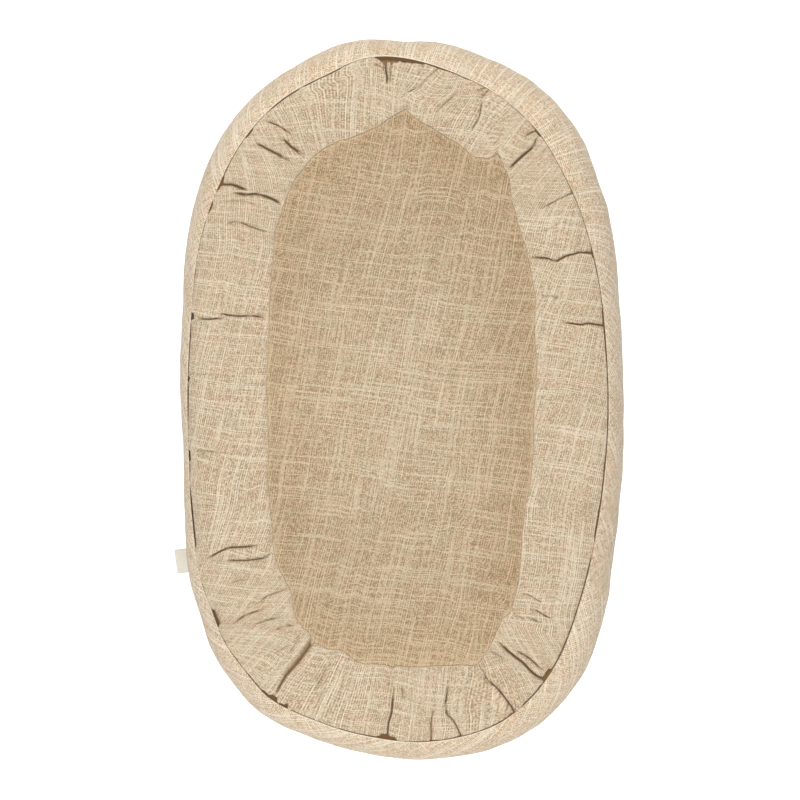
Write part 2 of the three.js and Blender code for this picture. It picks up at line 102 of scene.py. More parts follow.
# The wall in plan, clockwise from the head: outermost point, lip point and place of the top seam, as shares
wall_plan_shares = [
    (0.0, 0.997, 0.01, 0.812, 0.24), (0.264, 0.978, 0.165, 0.747, 0.29),
    (0.517, 0.914, 0.31, 0.69, 0.32), (0.72, 0.808, 0.456, 0.66, 0.4),
    (0.855, 0.663, 0.498, 0.578, 0.35), (0.932, 0.505, 0.544, 0.45, 0.265),
    (0.982, 0.285, 0.603, 0.275, 0.2), (1.0, 0.007, 0.609, 0.005, 0.16),
    (0.991, -0.216, 0.59, -0.205, 0.18), (0.955, -0.438, 0.54, -0.405, 0.22),
    (0.91, -0.602, 0.508, -0.558, 0.285), (0.815, -0.758, 0.438, -0.652, 0.285),
    (0.643, -0.886, 0.372, -0.715, 0.265), (0.409, -0.967, 0.272, -0.74, 0.21),
    (0.097, -1.0, 0.093, -0.74, 0.175), (-0.214, -0.975, -0.14, -0.735, 0.178),
    (-0.472, -0.922, -0.3, -0.698, 0.178), (-0.634, -0.872, -0.4, -0.672, 0.185),
    (-0.729, -0.814, -0.437, -0.64, 0.185), (-0.856, -0.7, -0.485, -0.585, 0.163),
    (-0.914, -0.594, -0.517, -0.518, 0.132), (-0.964, -0.488, -0.567, -0.452, 0.122),
    (-0.982, -0.321, -0.598, -0.3, 0.083), (-0.986, -0.154, -0.603, -0.154, 0.06),
    (-1.0, 0.04, -0.607, 0.043, 0.08), (-0.986, 0.291, -0.598, 0.271, 0.105),
    (-0.968, 0.458, -0.58, 0.416, 0.157), (-0.905, 0.619, -0.535, 0.535, 0.22),
    (-0.783, 0.766, -0.458, 0.633, 0.244), (-0.594, 0.886, -0.359, 0.697, 0.25),
    (-0.359, 0.969, -0.2, 0.738, 0.25), (-0.187, 1.0, -0.097, 0.775, 0.22),
]

# Where the photograph shows the cover: its middle and half its size, in pixels
photo_middle_pixels = (401.5, 399.5)
photo_half_pixels = (221.5, 359.5)

# The lip's edge as the photograph shows it, clockwise from its point at the head
lip_pixels = [
    (405, 108), (416, 118), (425, 124), (447, 137), (456, 142), (466, 150), (476, 157), (490, 158),
    (497, 153), (504, 164), (510, 180), (513, 200), (518, 223), (525, 243), (528, 259), (532, 278),
    (536, 298), (535, 314), (536, 357), (536, 392), (533, 430), (534, 452), (531, 478), (526, 504),
    (522, 538), (521, 564), (518, 587), (514, 599), (510, 613), (503, 618), (497, 633), (489, 647),
    (483, 657), (476, 666), (461, 665), (440, 666), (397, 665), (365, 664), (353, 659), (341, 650),
    (326, 649), (315, 642), (312, 635), (303, 628), (296, 618), (292, 599), (288, 585), (281, 573),
    (276, 561), (273, 547), (272, 530), (270, 504), (267, 478), (269, 435), (267, 400), (267, 366),
    (269, 332), (270, 290), (274, 254), (275, 233), (280, 216), (284, 202), (290, 188), (296, 178),
    (306, 164), (314, 156), (322, 149), (332, 144), (341, 140), (353, 137), (365, 132), (379, 126),
    (388, 119), (398, 112),
]

# The sheet's creases as the photograph shows them: depth share, half breadth in mm, and points in pixels
crease_pixels = [
    (0.7, 0.8, [(374.4, 65), (379, 67), (383, 67.5), (384, 71)]),
    (1.0, 1.1, [(385.4, 62), (385, 73), (386.8, 78), (385.4, 84)]),
    (0.6, 0.9, [(392, 64), (390.6, 70.4), (390.4, 83)]),
    (0.55, 0.7, [(441, 66), (436, 71), (420, 87), (403, 95)]),
    (0.6, 0.7, [(457, 93), (439, 110)]),
    (0.6, 0.8, [(488, 88), (478, 92)]),
    (0.5, 0.7, [(492, 93), (481, 99.5)]),
    (0.7, 0.8, [(481, 103), (479, 118), (471, 132)]),
    (0.35, 0.7, [(509, 117), (498, 124)]),
    (0.35, 0.7, [(500, 137), (495, 144)]),
    (0.35, 0.8, [(498, 150), (493, 160)]),
    (0.7, 0.9, [(540, 130), (526, 136)]),
    (1.0, 1.3, [(536, 139), (533, 147), (520, 158), (510, 168)]),
    (0.6, 0.8, [(572, 193), (558, 199), (543, 208)]),
    (0.4, 0.7, [(559, 224), (549, 229), (542, 231)]),
    (1.0, 1.0, [(595, 254), (580, 252), (566, 256), (554, 262), (547, 259), (532, 258)]),
    (0.6, 0.8, [(557, 299), (548, 295), (540, 297)]),
    (1.0, 0.9, [(606, 327), (588, 324), (580, 325.5), (563.7, 322)]),
    (0.6, 0.7, [(540.6, 601.5), (533.9, 597.9), (527.7, 593.9), (521.4, 591.7)]),
    (0.35, 0.8, [(562.5, 602), (553.6, 596.6), (546.4, 595.3)]),
    (0.7, 0.8, [(551, 619), (541, 612.7), (533.5, 608.2)]),
    (0.6, 0.8, [(540.6, 623.8), (532, 618), (526.8, 616.7)]),
    (0.55, 0.8, [(525, 619.4), (518.8, 614.9), (513.4, 614.5)]),
    (0.8, 0.9, [(543.6, 669.9), (538.6, 667.4), (533.6, 661.6), (525.4, 655), (516.2, 650.8)]),
    (1.0, 1.4, [(547, 680), (536, 674.8), (529.5, 669.9), (522, 661.6), (513.7, 655.8), (506.3, 649),
                (499.7, 642.5)]),
    (0.45, 1.0, [(504.6, 658.7), (494.7, 653.3), (487.2, 650.8)]),
    (0.35, 0.6, [(487, 683), (483, 676), (483, 669)]),
    (0.95, 0.9, [(514.2, 714), (512.5, 707), (507.1, 700.5), (501.3, 693), (494.7, 685.2), (488, 679.8),
                 (483, 675.7), (478.9, 669)]),
    (0.9, 0.8, [(462, 738), (459, 732), (455.7, 723.7), (451.6, 718), (447.4, 715.5), (445.3, 705.5),
                (445.8, 698), (447.4, 685.6)]),
    (0.8, 0.7, [(431.2, 741), (431.2, 718.8), (432.5, 712)]),
    (0.55, 0.8, [(403, 697), (401.5, 684)]),
    (1.0, 1.1, [(386, 740), (384, 733), (385, 722), (391, 713), (393, 692)]),
    (0.45, 1.1, [(316, 688), (322, 678), (326, 667)]),
    (0.4, 0.7, [(289, 652), (296, 643), (299, 632)]),
    (0.35, 0.7, [(275, 653), (285, 647), (290, 645)]),
    (0.7, 0.9, [(278, 629), (285, 624), (296, 624)]),
    (0.7, 0.8, [(258, 623), (270, 619), (281, 617)]),
    (0.7, 0.8, [(235, 623), (246, 614), (264, 608)]),
    (0.6, 0.7, [(258, 604), (266, 596), (283, 590)]),
    (0.35, 0.7, [(233, 583), (240, 580), (249, 579)]),
    (0.3, 0.6, [(249.6, 498.8), (257.7, 491.5), (261, 491.5)]),
    (0.85, 0.9, [(229, 560), (248, 560), (265, 558), (272, 552)]),
    (1.0, 0.9, [(209, 557), (217.5, 552), (230, 547.6), (244, 546.5), (258, 545)]),
    (0.5, 0.7, [(198, 450), (215, 451.8), (232.4, 454)]),
    (0.3, 0.7, [(194, 375), (212, 374), (230, 375)]),
    (0.95, 0.9, [(197, 319), (210, 320), (225, 318)]),
    (0.95, 0.9, [(222, 314), (238, 317), (251, 315), (264, 317)]),
    (0.7, 0.8, [(229, 223), (239, 221), (247, 225), (268, 232)]),
    (0.4, 0.7, [(226, 202), (245, 201), (258, 206)]),
    (1.0, 1.4, [(235, 193), (248, 195), (257, 193), (262, 191.5), (275, 197), (283, 202)]),
    (1.0, 1.6, [(220, 185), (232, 185), (247, 190)]),
    (0.85, 1.5, [(257, 144), (268, 150), (290, 161)]),
    (0.9, 1.6, [(284, 140), (292, 148), (305, 157)]),
    (0.8, 0.8, [(267, 122), (280, 127), (290, 134)]),
]

# Soft valleys that widen towards the lip: depth share, half breadths in mm at the seam and lip, and points
valley_pixels = [
    (1.0, 1.2, 4.5, [(276, 693), (287, 675), (300, 660), (311, 645)]),
    (0.5, 2.0, 3.5, [(388, 735), (391, 690)]),
]

# Where the sheet has pulled away from the band's edge: two ends in pixels, opening as seen from above in
# mm, depth in mm, soft or open
seam_gap_pixels = [
    ((376, 58), (379, 58), 3.5, 6.8, "open"), ((379, 58), (382, 58), 7.0, 6.8, "open"),
    ((382, 58), (386, 58), 10.0, 6.8, "open"), ((386, 58), (389, 58), 7.5, 6.8, "open"),
    ((389, 58), (393, 57.5), 9.5, 6.8, "open"), ((393, 57), (400, 58), 6.8, 6.8, "open"),
    ((400, 57), (406, 57), 5.4, 6.8, "open"), ((406, 57), (414, 59), 4.4, 6.8, "open"),
    ((414, 59), (424, 61), 3.4, 6.6, "open"),
    ((424, 62), (446, 67), 2.4, 5.6, "open"), ((446, 67), (470, 76), 1.2, 3.4, "open"),
    ((470, 76), (535, 128), 0.5, 1.8, "open"),
    ((535, 130), (541, 136), 2.4, 5.0, "open"), ((541, 137), (578, 190), 0.6, 2.0, "open"),
    ((593, 250), (598, 258), 2.6, 5.0, "open"), ((598, 262), (608, 310), 1.5, 5.0, "open"),
    ((608, 310), (614, 400), 2.1, 5.0, "open"),
    ((614, 400), (604, 540), 2.1, 5.0, "open"), ((594, 560), (575, 635), 2.6, 4.2, "soft"),
    ((572, 640), (553, 672), 3.2, 5.0, "soft"), ((553, 670), (544, 681), 4.6, 6.8, "open"),
    ((540, 685), (524, 704), 3.4, 4.6, "soft"), ((514, 713), (470, 735), 1.7, 5.4, "open"),
    ((470, 735), (402, 741), 1.4, 5.0, "open"), ((396, 741), (387, 739), 3.6, 6.8, "open"),
    ((387, 739), (379, 737), 5.0, 6.8, "open"), ((379, 737), (340, 729), 2.2, 6.4, "open"),
    ((340, 729), (292, 709), 1.5, 5.5, "open"), ((288, 707), (285, 706), 5.6, 6.8, "open"),
    ((285, 706), (281, 704), 3.0, 6.8, "open"), ((277, 700), (270, 695), 5.4, 6.8, "open"),
    ((270, 695), (262, 690), 3.0, 6.8, "open"), ((262, 690), (224, 630), 1.1, 4.0, "open"),
    ((223, 623), (214, 609), 10.5, 6.6, "soft"), ((212, 606), (200, 560), 0.9, 3.2, "open"),
    ((197, 547), (194, 520), 2.6, 5.0, "open"), ((194, 520), (190, 465), 1.9, 3.9, "open"),
    ((192, 460), (190, 450), 2.4, 4.6, "open"), ((189, 445), (187, 382), 1.9, 3.9, "open"),
    ((187, 381), (187, 376), 3.0, 4.8, "open"), ((187, 374), (189, 350), 1.9, 3.9, "open"),
    ((189, 350), (190, 324), 1.9, 3.9, "open"), ((191, 320), (192, 313), 4.0, 5.0, "open"),
    ((193, 306), (196, 270), 1.3, 5.0, "open"), ((197, 262), (206, 222), 1.1, 4.4, "open"),
    ((210, 213), (217, 204), 2.4, 6.0, "open"), ((217, 190), (224, 178), 2.6, 6.4, "open"),
    ((247, 138), (254, 130), 2.0, 5.4, "open"), ((268, 112), (300, 90), 2.8, 4.6, "soft"),
    ((305, 87), (340, 70), 2.2, 4.6, "soft"),
]

# How the sheet is cut into rows and columns
seam_row_steps = (0.0, 0.5, 1.0, 1.6, 2.3, 3.1, 4.0, 5.2, 6.6, 8.4)
wall_rows = 56
row_samples = 160
row_bend_pull = 14.0
row_nudge = 1e-3
shortest_step = 1e-6
side_rows = 7
floor_ring_shares = (0.955, 0.935, 0.91, 0.8, 0.68, 0.54, 0.38, 0.2)
floor_edge_share = 0.9
floor_edge_reach = 110.0
floor_shade_shares = (1.0, 1.0, 1.0, 0.9, 0.78, 0.55, 0.36, 0.25, 0.22)
under_first_rows = (0, 2, 5, 9)
under_even_row = 12
under_row_step = 6
under_ring_steps = (2, 6, 8, 11, 14)
column_step = 3.1
crease_step = 0.42
crease_growth = 1.55
crease_gap = 3.2
crease_spacing_rounds = 60
same_place = 1e-9

# How a line of the sheet fades at its ends, in rows. One that starts by the seam runs into it unfaded.
seam_start_rows = 3
least_fade_rows = 1.6
fade_share = 0.3
valley_start_rows = 2
valley_spread = 1.3
valley_sharp_share = 0.4

# How the sheet lies at its creases
crease_depth = 5.2
crease_power = 1.7
valley_depth = 4.2
crease_shoulder = 1.15
crease_shoulder_place = 1.2
crease_shoulder_reach = 6.5
crease_ridge = 0.7
crease_ridge_place = 2.4
crease_ridge_reach = 1.8

# How it puffs, and its ripples: seed, how many, fewest and most round the wall, lean, height in mm, their
# strength at the sides and how much is added at the corners
puff_height = 1.5
puff_seam_pace = 9
puff_lip_pace = 4
highest_puff = 2.6
sheet_ripples = [
    (3, 26, 9, 46, 1.2, 0.55, 1.0, 0.0),
    (4, 30, 36, 90, 1.8, 0.22, 0.5, 1.0),
    (5, 34, 60, 190, 2.5, 0.1, 0.6, 1.2),
]

# How it drops beside the band's edge, and from which drop shade is painted into the open seam
seam_dip = 2.2
seam_dip_reach = 0.7
gap_end_reach = 1.3
open_drop_power = 4
soft_drop_power = 1.5
gap_shade_from = 0.8
gap_shade_over = 3.8
soft_gap_shade_loss = 0.5
edge_cover = 0.8
flap_reach = 10.0
flap_depth = 5.8
flap_step_shares = (1.0, 0.55, 0.2)
flap_rows = len(flap_step_shares)

# A painted highlight over the lip's edge, a little painted shade just below it, and how the sheet tucks in
# under it
lip_highlight_start = math.radians(136.5)
lip_highlight_ease = math.radians(4)
lip_highlight_end = math.radians(148)
lip_highlight_fade = 0.35
lip_highlight_fade_share = 0.7
side_highlight_shares = (0.2, 0.25)
lip_well_shade_share = 0.4
tuck_pace = 1.6

# The floor's crown, and its soft ripples over a length in mm
floor_crown = 1.2
floor_crown_pace = 2.5
floor_ripple_length = 300
floor_ripple_height = 0.35
floor_ripple_pace = 12

# How the band swells, ripples, lies flat at its foot and turns over at its edge
band_proud = 0.3
band_swell = 0.1
band_swell_pace = 1.1
band_ripple_edge_share = 0.45
band_ripple_pace = 3
band_crease_depth = 1.1
band_crease_breadth = 1.6
band_crease_run_share = 0.6
band_crease_end_power = 4
band_foot_start = math.radians(48)
band_foot_ease = math.radians(22)
band_foot_flat_share = 0.6
band_roll = 0.8
band_roll_rows = 5
band_back_rows = 14
band_back_margin = 1.9
band_back_pace = 9

# How strong the painted highlight on the band's turned edge is: a little everywhere, more round the head
# and the foot
edge_light_rows = 4
edge_light = 0.15
edge_light_head = 1.1
edge_light_far_share = 0.4
edge_light_near_share = 0.35
edge_light_foot = 0.6
fold_share = 0.005
fold_reach = 78.0
fold_ease = 20
fold_far_reach = 260.0
fold_far_ease = 60
fold_foot_reach = 140.0
fold_foot_ease = 50

# How the threads lie in plan, and how they wander: height, two wavelengths in mm and a phase
weft_turn = math.radians(-7)
warp_turn = math.radians(-12)
warp_wander = [(1.6, 47, 90, 1.0), (1.1, 24, -61, 0.0)]
weft_wander = [(1.8, 58, 95, 0.6), (1.0, 27, -70, 2.0)]
corner_turn = math.radians(29)
corner_turn_power = 1.2

# Samples round the wall, how many even out its direction, how far off a place is still found on it, and the
# smallest of a set of waves as a share of the largest
walk_samples = 1440
facing_reach = 80
wall_search_reach = (-20.0, 130.0)
smallest_wave = 0.4

cover_half = np.array([cover_width / 2, cover_length / 2])


def smooth(value):
    """Eased from 0 to 1."""
    t = np.clip(value, 0, 1)
    return t * t * (3 - 2 * t)


def signed_power(value, power):
    return np.sign(value) * np.abs(value) ** power


def walk_lengths(points):
    """How far along a line of points each of them lies."""
    steps = np.linalg.norm(np.diff(points, axis=0), axis=1)
    return np.concatenate([[0], np.cumsum(steps)])


def wall_columns(row):
    """The wall's plan table read as closed smooth curves."""
    table = np.array(wall_plan_shares)
    whole = np.floor(row).astype(int)
    t = (row - whole)[..., None]
    a, b, c, d = [table[(whole + k) % len(table)] for k in (-1, 0, 1, 2)]
    return b + t / 2 * (c - a + t * (2 * a - 5 * b + 4 * c - d + t * (3 * (b - c) + d - a)))


walk_rows = np.linspace(0, len(wall_plan_shares), walk_samples + 1)
walk_points = wall_columns(walk_rows)[:, 0:2] * cover_half
walked = walk_lengths(walk_points)
perimeter = walked[-1]


def wall_at(share):
    """Outermost point, inward direction, width in plan and seam place at shares of the way round."""
    row = np.interp(np.mod(share, 1) * perimeter, walked, walk_rows)
    columns = wall_columns(row)
    outer = columns[..., 0:2] * cover_half
    across = columns[..., 2:4] * cover_half - outer
    width = np.linalg.norm(across, axis=-1)
    return outer, across / width[..., None], width, columns[..., 4]


def from_pixels(points):
    """Pixels of the photograph as places on the cover's plan."""
    offset = (np.array(points, float) - photo_middle_pixels) / photo_half_pixels
    return offset * [1, -1] * cover_half


chart_shares = np.linspace(0, 1, walk_samples, endpoint=False)
chart_outer, chart_inward, chart_width, chart_seam = wall_at(chart_shares)


def on_wall(points):
    """Share of the way round and distance in from the outline, for places in plan."""
    found = []
    low, high = wall_search_reach
    for point in np.atleast_2d(points):
        offset = point - chart_outer
        along = (offset * chart_inward).sum(axis=1)
        aside = np.abs(offset[:, 0] * chart_inward[:, 1] - offset[:, 1] * chart_inward[:, 0])
        aside[(along < low) | (along > high)] = np.inf
        best = int(aside.argmin())
        found.append((chart_shares[best], along[best]))
    return np.array(found)


def periodic(share, known_shares, known_values):
    return np.interp(share, known_shares, known_values, period=1)


# The lip follows the photograph's own edge, a few millimetres either side of the part's
lip_shift_limit = 5.0
lip_places = on_wall(from_pixels(lip_pixels))
lip_order = np.argsort(lip_places[:, 0])
lip_places = lip_places[lip_order]
lip_shift = periodic(chart_shares, lip_places[:, 0], lip_places[:, 1]) - chart_width
lip_shift = np.clip(lip_shift, -lip_shift_limit, lip_shift_limit)


def seam_angle(seam_share):
    return np.arccos(signed_power(1 - 2 * seam_share, 1 / shoulder_power))


def section_point(share, angle, inset, bottom):
    """A point of the wall's section. Angle 0 is the widest line outside, a half turn is the lip."""
    outer, inward, width, _ = wall_at(share)
    half = width / 2
    up = np.sin(angle) >= 0
    power = np.where(up, np.where(np.cos(angle) >= 0, shoulder_power, lip_power), foot_power)
    reach = np.where(up, wall_height - widest_height - inset, widest_height - bottom)
    distance = half - (half - inset) * signed_power(np.cos(angle), power)
    plan = outer + inward * distance[..., None]
    height = widest_height + reach * signed_power(np.sin(angle), power)
    return np.concatenate([plan, height[..., None]], axis=-1)


def lip_ease(turn):
    """How far a place on the sheet follows the lip's own line: not at the wall's top, fully at the lip."""
    return smooth((turn - math.pi / 2) / (math.pi / 4))


def sheet_turn(level):
    """Turn about the wall's middle of a place whose level is 1 at the outline and -1 at the lip."""
    bend = 2 / np.where(level >= 0, shoulder_power, sheet_lip_power)
    upright = np.clip(1 - np.abs(level) ** bend, 0, 1) ** (1 / bend)
    return np.arctan2(upright, level)


def sheet_point(share, turn, inset):
    """A point of the sheet over the wall. Its lip is the photograph's, tighter than the part's."""
    outer, inward, width, _ = wall_at(share)
    width = width + periodic(share, chart_shares, lip_shift) * lip_ease(turn)
    half = width / 2
    across, up = np.cos(turn), np.abs(np.sin(turn))
    bend = 2 / np.where(across >= 0, shoulder_power, sheet_lip_power)
    size = (np.abs(across) ** bend + up ** bend) ** (1 / bend)
    base = np.where(across >= 0, widest_height, sheet_lip_height)
    plan = outer + inward * (half - (half - inset) * across / size)[..., None]
    height = base + (wall_height - base - inset) * up / size
    return np.concatenate([plan, height[..., None]], axis=-1)


# Where the cover's own middle lies in the frame
coil_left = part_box("zip_coil_left")
coil_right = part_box("zip_coil_right")
cover_middle = np.array([
    (coil_left[0].x + coil_right[1].x) / 2,
    (coil_left[0].y + coil_left[1].y) / 2,
    0,
]) / MM


# Meshes

def closed_faces(rows, columns, offset=0, wrap_rows=False):
    """Quads between rows of a ring, as vertex numbers and as (row, column) corners for the cloth map."""
    row_count = rows if wrap_rows else rows - 1
    r, c = np.meshgrid(np.arange(row_count), np.arange(columns), indexing="ij")
    r = r.ravel()
    c = c.ravel()
    corner_rows = np.stack([r, r, r + 1, r + 1], axis=1)
    corner_columns = np.stack([c, c + 1, c + 1, c], axis=1)
    faces = offset + (corner_rows % rows) * columns + corner_columns % columns
    return faces, corner_rows, corner_columns


def make_piece(name, points, faces, face_maps=None, values=None):
    """A smooth mesh from points in mm. face_maps holds each corner's place on the cloth, in metres."""
    mesh = bpy.data.meshes.new(name)
    flat_faces = [face for block in faces for face in block.tolist()]
    mesh.from_pydata(((points + cover_middle) * MM).tolist(), [], flat_faces)
    mesh.polygons.foreach_set("use_smooth", [True] * len(mesh.polygons))
    if face_maps is not None:
        layer = mesh.uv_layers.new(name="cloth")
        flat_map = np.concatenate([block.reshape(-1, 2) for block in face_maps])
        layer.data.foreach_set("uv", flat_map.astype(np.float32).ravel())
    for key, numbers in (values or {}).items():
        attribute = mesh.attributes.new(key, "FLOAT", "POINT")
        attribute.data.foreach_set("value", np.asarray(numbers, np.float32).ravel())
    mesh.validate()
    piece = bpy.data.objects.new(name, mesh)
    bpy.context.scene.collection.objects.link(piece)
    turn_outwards(piece)
    return piece


def turn_outwards(piece):
    """Faces point out of a closed mesh."""
    shape = bmesh.new()
    shape.from_mesh(piece.data)
    bmesh.ops.recalc_face_normals(shape, faces=shape.faces[:])
    if shape.calc_volume(signed=True) < 0:
        bmesh.ops.reverse_faces(shape, faces=shape.faces[:])
    shape.to_mesh(piece.data)
    shape.free()


def dress(piece, body, material, slot, *nodes):
    """Material, body and the CAD nodes that a piece stands for. The slot is not used."""
    piece.data.materials.clear()
    piece.data.materials.append(material)
    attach(piece, body)
    if nodes:
        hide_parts(*nodes)
    return piece


def waves(share, across, seed, count, fewest, most, lean, height):
    """Gentle seeded ripples that close on themselves round the wall."""
    random = np.random.default_rng(seed)
    total = np.zeros(np.broadcast(share, across).shape)
    for _ in range(count):
        turns = random.integers(fewest, most)
        slope = random.uniform(-lean, lean)
        phase = random.uniform(0, 2 * math.pi)
        size = random.uniform(smallest_wave, 1)
        total = total + size * np.sin(2 * math.pi * (turns * share + slope * across) + phase)
    return total * height / math.sqrt(count)


# Top sheet

def sheet_row_angles():
    """Angle of each wall row at each share of the chart: fine rows by the seam, even rows to the lip."""
    start = sheet_turn(1 - 2 * chart_seam) + seat_gap / (chart_width / 2)
    fractions = np.linspace(0, 1, row_samples)
    angles = start[None, :] + (math.pi - start)[None, :] * fractions[:, None]
    points = sheet_point(np.broadcast_to(chart_shares, angles.shape), angles, np.zeros(angles.shape))
    steps = np.diff(points, axis=0)
    lengths = np.linalg.norm(steps, axis=2)
    arcs = np.concatenate([np.zeros((1, walk_samples)), np.cumsum(lengths, axis=0)])
    facing = steps / np.maximum(lengths, shortest_step)[..., None]
    bends = np.linalg.norm(np.diff(facing, axis=0), axis=2)
    bends = np.concatenate([np.zeros((2, walk_samples)), np.cumsum(bends, axis=0)])
    pace = arcs + row_bend_pull * bends
    even = np.linspace(0, 1, wall_rows - len(seam_row_steps) + 1)[1:]
    row_angles = np.zeros((wall_rows, walk_samples))
    row_arcs = np.zeros((wall_rows, walk_samples))
    for i in range(walk_samples):
        reached = np.interp(seam_row_steps[-1], arcs[:, i], pace[:, i])
        rest = np.interp(reached + even * (pace[-1, i] - reached), pace[:, i], arcs[:, i])
        targets = np.concatenate([seam_row_steps, rest])
        row_arcs[:, i] = targets
        row_angles[:, i] = np.interp(targets, arcs[:, i], angles[:, i])
    return row_angles, row_arcs


row_angles, row_arcs = sheet_row_angles()


def row_at(share, distance):
    """The sheet's row, in parts of a row, at a distance in from the outline."""
    near = int(round(share * walk_samples)) % walk_samples
    level = np.clip(1 - distance / (chart_width[near] / 2), -1, 1)
    return float(np.interp(sheet_turn(level), row_angles[:, near], np.arange(wall_rows)))


def trace(points):
    """A crease's or valley's line: its place round the wall at every row, and the rows that it covers."""
    places = on_wall(from_pixels(points))
    shares = places[:, 0].copy()
    shares[1:] += np.round(shares[0] - shares[1:])
    rows = np.array([row_at(share % 1, distance) for share, distance in places])
    if rows[0] > rows[-1]:
        rows = rows[::-1]
        shares = shares[::-1]
    rows = np.maximum.accumulate(rows + np.arange(len(rows)) * row_nudge)
    line = np.interp(np.arange(wall_rows), rows, shares)
    padded_line = np.concatenate([line[:1], line, line[-1:]])
    line = (padded_line[:-2] + 2 * padded_line[1:-1] + padded_line[2:]) / 4
    return line, rows[0], rows[-1]


def taper(low, high):
    """How strongly a line shows at each row: full in its middle, nothing past its ends."""
    rows = np.arange(wall_rows)
    ease = max(least_fade_rows, fade_share * (high - low))
    start = smooth((rows - low) / ease + 0.5) if low > seam_start_rows else np.ones(wall_rows)
    end = smooth((high - rows) / ease + 0.5)
    return start * end


creases = []
for depth_share, breadth, points in crease_pixels:
    line, low, high = trace(points)
    creases.append({
        "line": line,
        "strength": depth_share * taper(low, high),
        "breadth": np.full(wall_rows, breadth),
        "sharp": 1.0,
    })
for depth_share, seam_breadth, lip_breadth, points in valley_pixels:
    line, low, high = trace(points)
    rows = np.arange(wall_rows)
    breadth = np.interp(rows, [low, high], [seam_breadth, lip_breadth])
    strength = depth_share * smooth((rows - low) / valley_start_rows + 0.5)
    creases.append({
        "line": line,
        "strength": strength * valley_depth / crease_depth,
        "breadth": breadth * valley_spread,
        "sharp": valley_sharp_share,
    })
creases.sort(key=lambda crease: np.mod(crease["line"].mean(), 1))


def spaced_lines():
    """Every crease's place at every row, in order and never closer than a small gap."""
    lines = []
    for crease in creases:
        middle = crease["line"].mean()
        lines.append(np.mod(middle, 1) - middle + crease["line"])
    lines = np.array(lines)
    gap = crease_gap / perimeter
    for _ in range(crease_spacing_rounds):
        step = np.roll(lines, -1, axis=0) - lines
        step[-1] += 1
        short = np.maximum(gap - step, 0) / 2
        lines = lines - short + np.roll(short, 1, axis=0)
    return lines


crease_lines = spaced_lines()


def gap_columns(length):
    """Even fractions between two creases, crowded near both."""
    near = [0.0]
    step = crease_step
    while step < column_step and near[-1] + step < length / 2:
        near.append(near[-1] + step)
        step *= crease_growth
    middle = length - 2 * near[-1]
    count = max(1, int(math.ceil(middle / column_step)))
    inner = [near[-1] + middle * k / count for k in range(1, count)]
    far = [length - value for value in reversed(near)]
    return np.array(near + inner + far[:-1]) / length


def sheet_columns():
    """Share of the way round for each column of each row. Columns keep to the creases from row to row."""
    mean_lines = crease_lines.mean(axis=1)
    lengths = np.diff(np.concatenate([mean_lines, [mean_lines[0] + 1]])) * perimeter
    fractions = [gap_columns(length) for length in lengths]
    rows = []
    for row in range(wall_rows):
        here = crease_lines[:, row]
        there = np.concatenate([here[1:], [here[0] + 1]])
        rows.append(np.concatenate([a + (b - a) * f for a, b, f in zip(here, there, fractions)]))
    return np.array(rows)


columns = sheet_columns()
column_count = columns.shape[1]


def gap_table():
    """How far and how deep the sheet has pulled away from the band's edge, against the chart."""
    opening = np.full(walk_samples, seam_dip_reach)
    depth = np.full(walk_samples, seam_dip)
    softness = np.zeros(walk_samples)
    for start, end, gap_opening, gap_depth, kind in seam_gap_pixels:
        a, b = on_wall(from_pixels([start, end]))[:, 0]
        low, high = (a, b) if (b - a) % 1 < 0.5 else (b, a)
        span = (high - low) % 1
        ends = gap_end_reach / perimeter
        place = (chart_shares - low) % 1
        place = np.where(place > 0.5 + span / 2, place - 1, place)
        weight = smooth((place + ends) / (2 * ends)) * smooth((span - place + ends) / (2 * ends))
        opening = opening + (gap_opening - opening) * weight
        depth = depth + (gap_depth - depth) * weight
        softness = softness + ((1.0 if kind == "soft" else 0.0) - softness) * weight
    return opening + edge_cover, depth, softness


def crease_relief(bare):
    """How far creases and valleys lie in from the part's surface, and how much shade is painted into the
    sheet's creases there.
    """
    inset = np.zeros(columns.shape)
    crease_shade = np.zeros(columns.shape)
    steps = np.linalg.norm(np.roll(bare, -1, axis=1) - bare, axis=2)
    places = np.concatenate([np.zeros((wall_rows, 1)), np.cumsum(steps, axis=1)], axis=1)
    lengths = places[:, -1:]
    places = places[:, :-1]
    line_columns = np.searchsorted(columns[0], crease_lines[:, 0] - same_place)
    for k, crease in enumerate(creases):
        offset = places - places[:, line_columns[k]][:, None]
        offset = (offset + lengths / 2) % lengths - lengths / 2
        strength = crease["strength"][:, None]
        breadth = crease["breadth"][:, None]
        breadth = breadth * np.where(offset < 0, crease["sharp"], 1.0)
        slit = np.exp(-np.abs(offset / breadth) ** crease_power)
        side = 1 if k % 2 else -1
        shoulder = np.exp(-((offset - side * crease_shoulder_place) / crease_shoulder_reach) ** 2)
        ridge = np.exp(-((offset + side * (breadth + crease_ridge_place)) / crease_ridge_reach) ** 2)
        inset += strength * (crease_depth * slit + crease_shoulder * shoulder - crease_ridge * ridge)
        # How much shade is painted into the crease
        crease_shade = np.maximum(crease_shade, strength * slit)
    return inset, crease_shade


def rippled(inset, across):
    """The sheet's inset with its ripples and its puff between seam and lip."""
    corners = np.abs(np.sin(2 * outward_angle(columns)))
    for seed, count, fewest, most, lean, height, side_share, corner_share in sheet_ripples:
        ripple = waves(columns, across, seed, count, fewest, most, lean, height)
        inset = inset - ripple * (side_share + corner_share * corners)
    inset = inset - puff_height * smooth(across * puff_seam_pace) * smooth((1 - across) * puff_lip_pace)
    return np.maximum(inset, -highest_puff)


